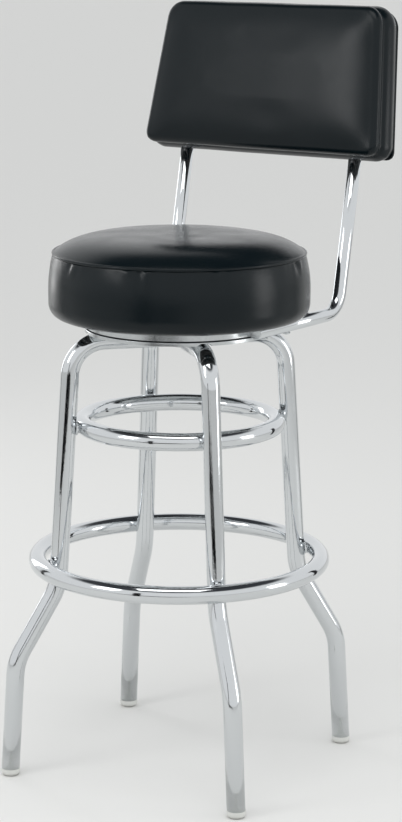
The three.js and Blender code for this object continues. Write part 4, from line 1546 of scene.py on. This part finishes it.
def back_grid(inset, depth):
    """A grid of even cells in the back's outline, drawn in by an inset, at one depth. It gives
    back the mesh and its edge loop as pairs of a vertex and its outward direction."""
    across = round(back_bottom_width / back_cell)
    upwards = round(back_height / back_cell)
    bm = bmesh.new()
    bmesh.ops.create_grid(bm, x_segments=across, y_segments=upwards, size=1)
    taper = math.atan((back_bottom_width - back_top_width) / 2 / back_height)
    edges = [vert for vert in bm.verts if vert.is_boundary]
    outward = {}
    for vert in bm.verts:
        side, level = vert.co.x, vert.co.y
        up = back_height / 2 + level * (back_height / 2 - inset)
        half = back_half_width(up) - inset / math.cos(taper)
        x = side * half
        corner = back_top_round if level > 0 else back_bottom_round
        corner = max(corner - inset, smallest_corner)
        corner_x = half - corner
        corner_up = back_height / 2 + math.copysign(back_height / 2 - inset - corner, level)
        over_x = abs(x) - corner_x
        over_up = abs(up - back_height / 2) - abs(corner_up - back_height / 2)
        direction = Vector((0, 0, 0))
        if over_x > 0 and over_up > 0:
            reach = max(over_x, over_up)
            if over_x > over_up:
                angle = math.pi / 4 * over_up / over_x
            else:
                angle = math.pi / 2 - math.pi / 4 * over_x / over_up
            sideways = math.copysign(math.cos(angle), side)
            upright = math.copysign(math.sin(angle), level)
            x = math.copysign(corner_x, side) + reach * sideways
            up = corner_up + reach * upright
            direction = Vector((sideways, 0, upright))
        elif over_up > over_x:
            direction = Vector((0, 0, math.copysign(1, level)))
        else:
            direction = Vector((math.copysign(1, side), 0, 0))
        vert.co = Vector((x, depth, back_bottom + up))
        outward[vert] = direction
    return bm, edges, outward


def next_loop(bm, edges, outward, step_out, step_back):
    """Extrudes the edge loop of a back grid outwards and rearwards."""
    made = bmesh.ops.extrude_edge_only(bm, edges=edge_loop(bm, edges))["geom"]
    fresh = [item for item in made if isinstance(item, bmesh.types.BMVert)]
    for vert in fresh:
        source = min((e.other_vert(vert) for e in vert.link_edges if e.other_vert(vert) in outward),
                     key=lambda other: (other.co - vert.co).length)
        outward[vert] = outward[source]
    for vert in fresh:
        vert.co += outward[vert] * step_out + Vector((0, step_back, 0))
    return fresh


back_plywood = plywood_material(
    "back_birch_plywood", Matrix.Rotation(post_lean + math.pi / 2, 4, "X"), 0, back_board_thick,
    back_ply_count)
bm, edges, outward = back_grid(back_wall + fit_gap, back_board_front)
next_loop(bm, edges, outward, 0, back_board_thick)
rear = [vert for vert in bm.verts if vert.is_boundary]
bmesh.ops.contextual_create(bm, geom=edge_loop(bm, rear))
bmesh.ops.recalc_face_normals(bm, faces=bm.faces[:])
bmesh.ops.transform(bm, matrix=on_back, verts=bm.verts[:])
back_board = finished("plywood_back_panel", bm, back_plywood)
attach(back_board, "seat")
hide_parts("back_board")

for word, side in [("left", -1), ("right", 1)]:
    for level, rise in [("low", back_screw_low), ("high", back_screw_low + back_screw_pitch)]:
        screw = domed_screw(f"post_screw_{word}_{level}", back_screw_head, back_screw_head_height,
                            back_screw_shank, post_tube + back_screw_depth, 4, recess_arm)
        head_depth = post_radius + fit_gap + back_screw_head_height
        standing = Matrix.Translation((side * post_spacing / 2, head_depth, back_bottom + rise))
        standing = standing @ Matrix.Rotation(math.radians(90), 4, "X")
        screw.data.transform(Matrix.Translation(swivel_foot) @ on_back @ standing)
        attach(screw, "seat")
        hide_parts(f"back_screw_{word}_{level}")


# The padded back: foam over the front of the board under a vinyl cover, with a side band that
# folds in where the foam's front edge ends, a padded rear panel, and a cord in the seam.

back_front_depth = 40 * mm
back_front_crown = 6 * mm
back_front_round = 10 * mm
back_crown_inset = 55 * mm
back_seam_depth = 13 * mm
back_rear_depth = 22 * mm
back_rear_crown = 4 * mm
back_rear_round = 6 * mm
back_seam_draw = 1.6 * mm
back_fold = 3.4 * mm
back_fold_depth = -22 * mm
back_fold_width = 4 * mm
back_ridge = 4.2 * mm
back_ridge_depth = -5 * mm
back_ridge_width = 10 * mm
back_draw_start = 5 * mm
back_unevenness = 0.4 * mm
back_unevenness_size = 70 * mm
back_welt_cord = 2 * mm
round_steps = 5
side_rows = 16


def crown_over(bm, inset, crown, crown_inset):
    """Raises the middle of a face, quickly near its edges and slowly over its middle."""
    for vert in bm.verts:
        up = vert.co.z - back_bottom
        rise = crown
        for from_edge in (back_half_width(up) - abs(vert.co.x), min(up, back_height - up)):
            along = min(max((from_edge - inset) / crown_inset, 0), 1)
            rise *= 1 - (1 - along) ** 3
        vert.co.y += rise


def rounded_over(bm, loop, outward, reach_out, reach_back):
    """Rounds a face over towards its side and gives back the loops that make the round."""
    made = []
    for step in range(round_steps):
        from_angle = math.pi / 2 * step / round_steps
        to_angle = math.pi / 2 * (step + 1) / round_steps
        out = reach_out * (math.sin(to_angle) - math.sin(from_angle))
        deep = reach_back * (math.cos(from_angle) - math.cos(to_angle))
        loop = next_loop(bm, loop, outward, out, deep)
        made.append(loop)
    return made


bm, edges, outward = back_grid(back_front_round, -back_front_depth)
crown_over(bm, back_front_round, -back_front_crown, back_crown_inset)
loops = rounded_over(bm, edges, outward, back_front_round, back_front_round)
side_start = -back_front_depth + back_front_round
side_points = [(0, side_start)]
for row in range(1, side_rows + 1):
    deep = side_start + (back_seam_depth - side_start) * row / side_rows
    near_fold = math.exp(-((deep - back_fold_depth) / back_fold_width) ** 2)
    near_ridge = math.exp(-((deep - back_ridge_depth) / back_ridge_width) ** 2)
    near_seam = max(share_between(deep, back_draw_start, back_seam_depth), 0)
    out = back_ridge * near_ridge - back_fold * near_fold - back_seam_draw * near_seam ** 2
    side_points.append((out, deep))
for before, after in zip(side_points, side_points[1:]):
    loops.append(next_loop(bm, loops[-1], outward, after[0] - before[0], after[1] - before[1]))
bmesh.ops.recalc_face_normals(bm, faces=bm.faces[:])
bm.verts.index_update()
held = {vert.index: 1.0 for ring in [edges, *loops[:round_steps], loops[-1]] for vert in ring}
grown = {vert.index: 1.0 for ring in loops[round_steps:-1] for vert in ring}
bmesh.ops.transform(bm, matrix=on_back, verts=bm.verts[:])
uneven(bm, back_unevenness_size, back_unevenness)
back_cover = finished("vinyl_back_cover", bm, vinyl)
swell(back_cover, held, pressure=1.0, growth=0.006, grown=grown, furthest=1.8 * mm, stiffness=6)
draw_smooth(back_cover)
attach(back_cover, "seat")
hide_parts("back_cushion")

bm, edges, outward = back_grid(back_rear_round, back_rear_depth)
crown_over(bm, back_rear_round, back_rear_crown, back_crown_inset)
loops = rounded_over(bm, edges, outward, back_rear_round - back_seam_draw,
                     back_seam_depth - back_rear_depth)
bmesh.ops.recalc_face_normals(bm, faces=bm.faces[:])
bm.verts.index_update()
held = {vert.index: 1.0 for vert in [*edges, *loops[-1]]}
bmesh.ops.transform(bm, matrix=on_back, verts=bm.verts[:])
uneven(bm, back_unevenness_size, back_unevenness)
rear_cover = finished("vinyl_back_rear", bm, vinyl)
swell(rear_cover, held, pressure=1.0, growth=0.0, grown={}, furthest=2 * mm, stiffness=6)
draw_smooth(rear_cover)
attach(rear_cover, "seat")
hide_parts("back_panel")

# The cord's round grows from the outline of the seam, one loop after another, until it closes.
bm, edges, outward = back_grid(back_seam_draw, back_seam_depth)
bmesh.ops.delete(bm, geom=bm.faces[:], context="FACES_KEEP_BOUNDARY")
for vert in edges:
    vert.co += outward[vert] * back_welt_cord
loop = edges
for number in range(cord_sides):
    from_angle = 2 * math.pi * number / cord_sides
    to_angle = 2 * math.pi * (number + 1) / cord_sides
    out = back_welt_cord * (math.cos(to_angle) - math.cos(from_angle))
    deep = back_welt_cord * (math.sin(to_angle) - math.sin(from_angle))
    loop = next_loop(bm, loop, outward, out, deep)
bmesh.ops.remove_doubles(bm, verts=bm.verts[:], dist=merge_distance)
bmesh.ops.recalc_face_normals(bm, faces=bm.faces[:])
bmesh.ops.transform(bm, matrix=on_back, verts=bm.verts[:])
back_welt = finished("vinyl_back_welt_cord", bm, vinyl)
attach(back_welt, "seat")
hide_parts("back_welt")

low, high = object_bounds()
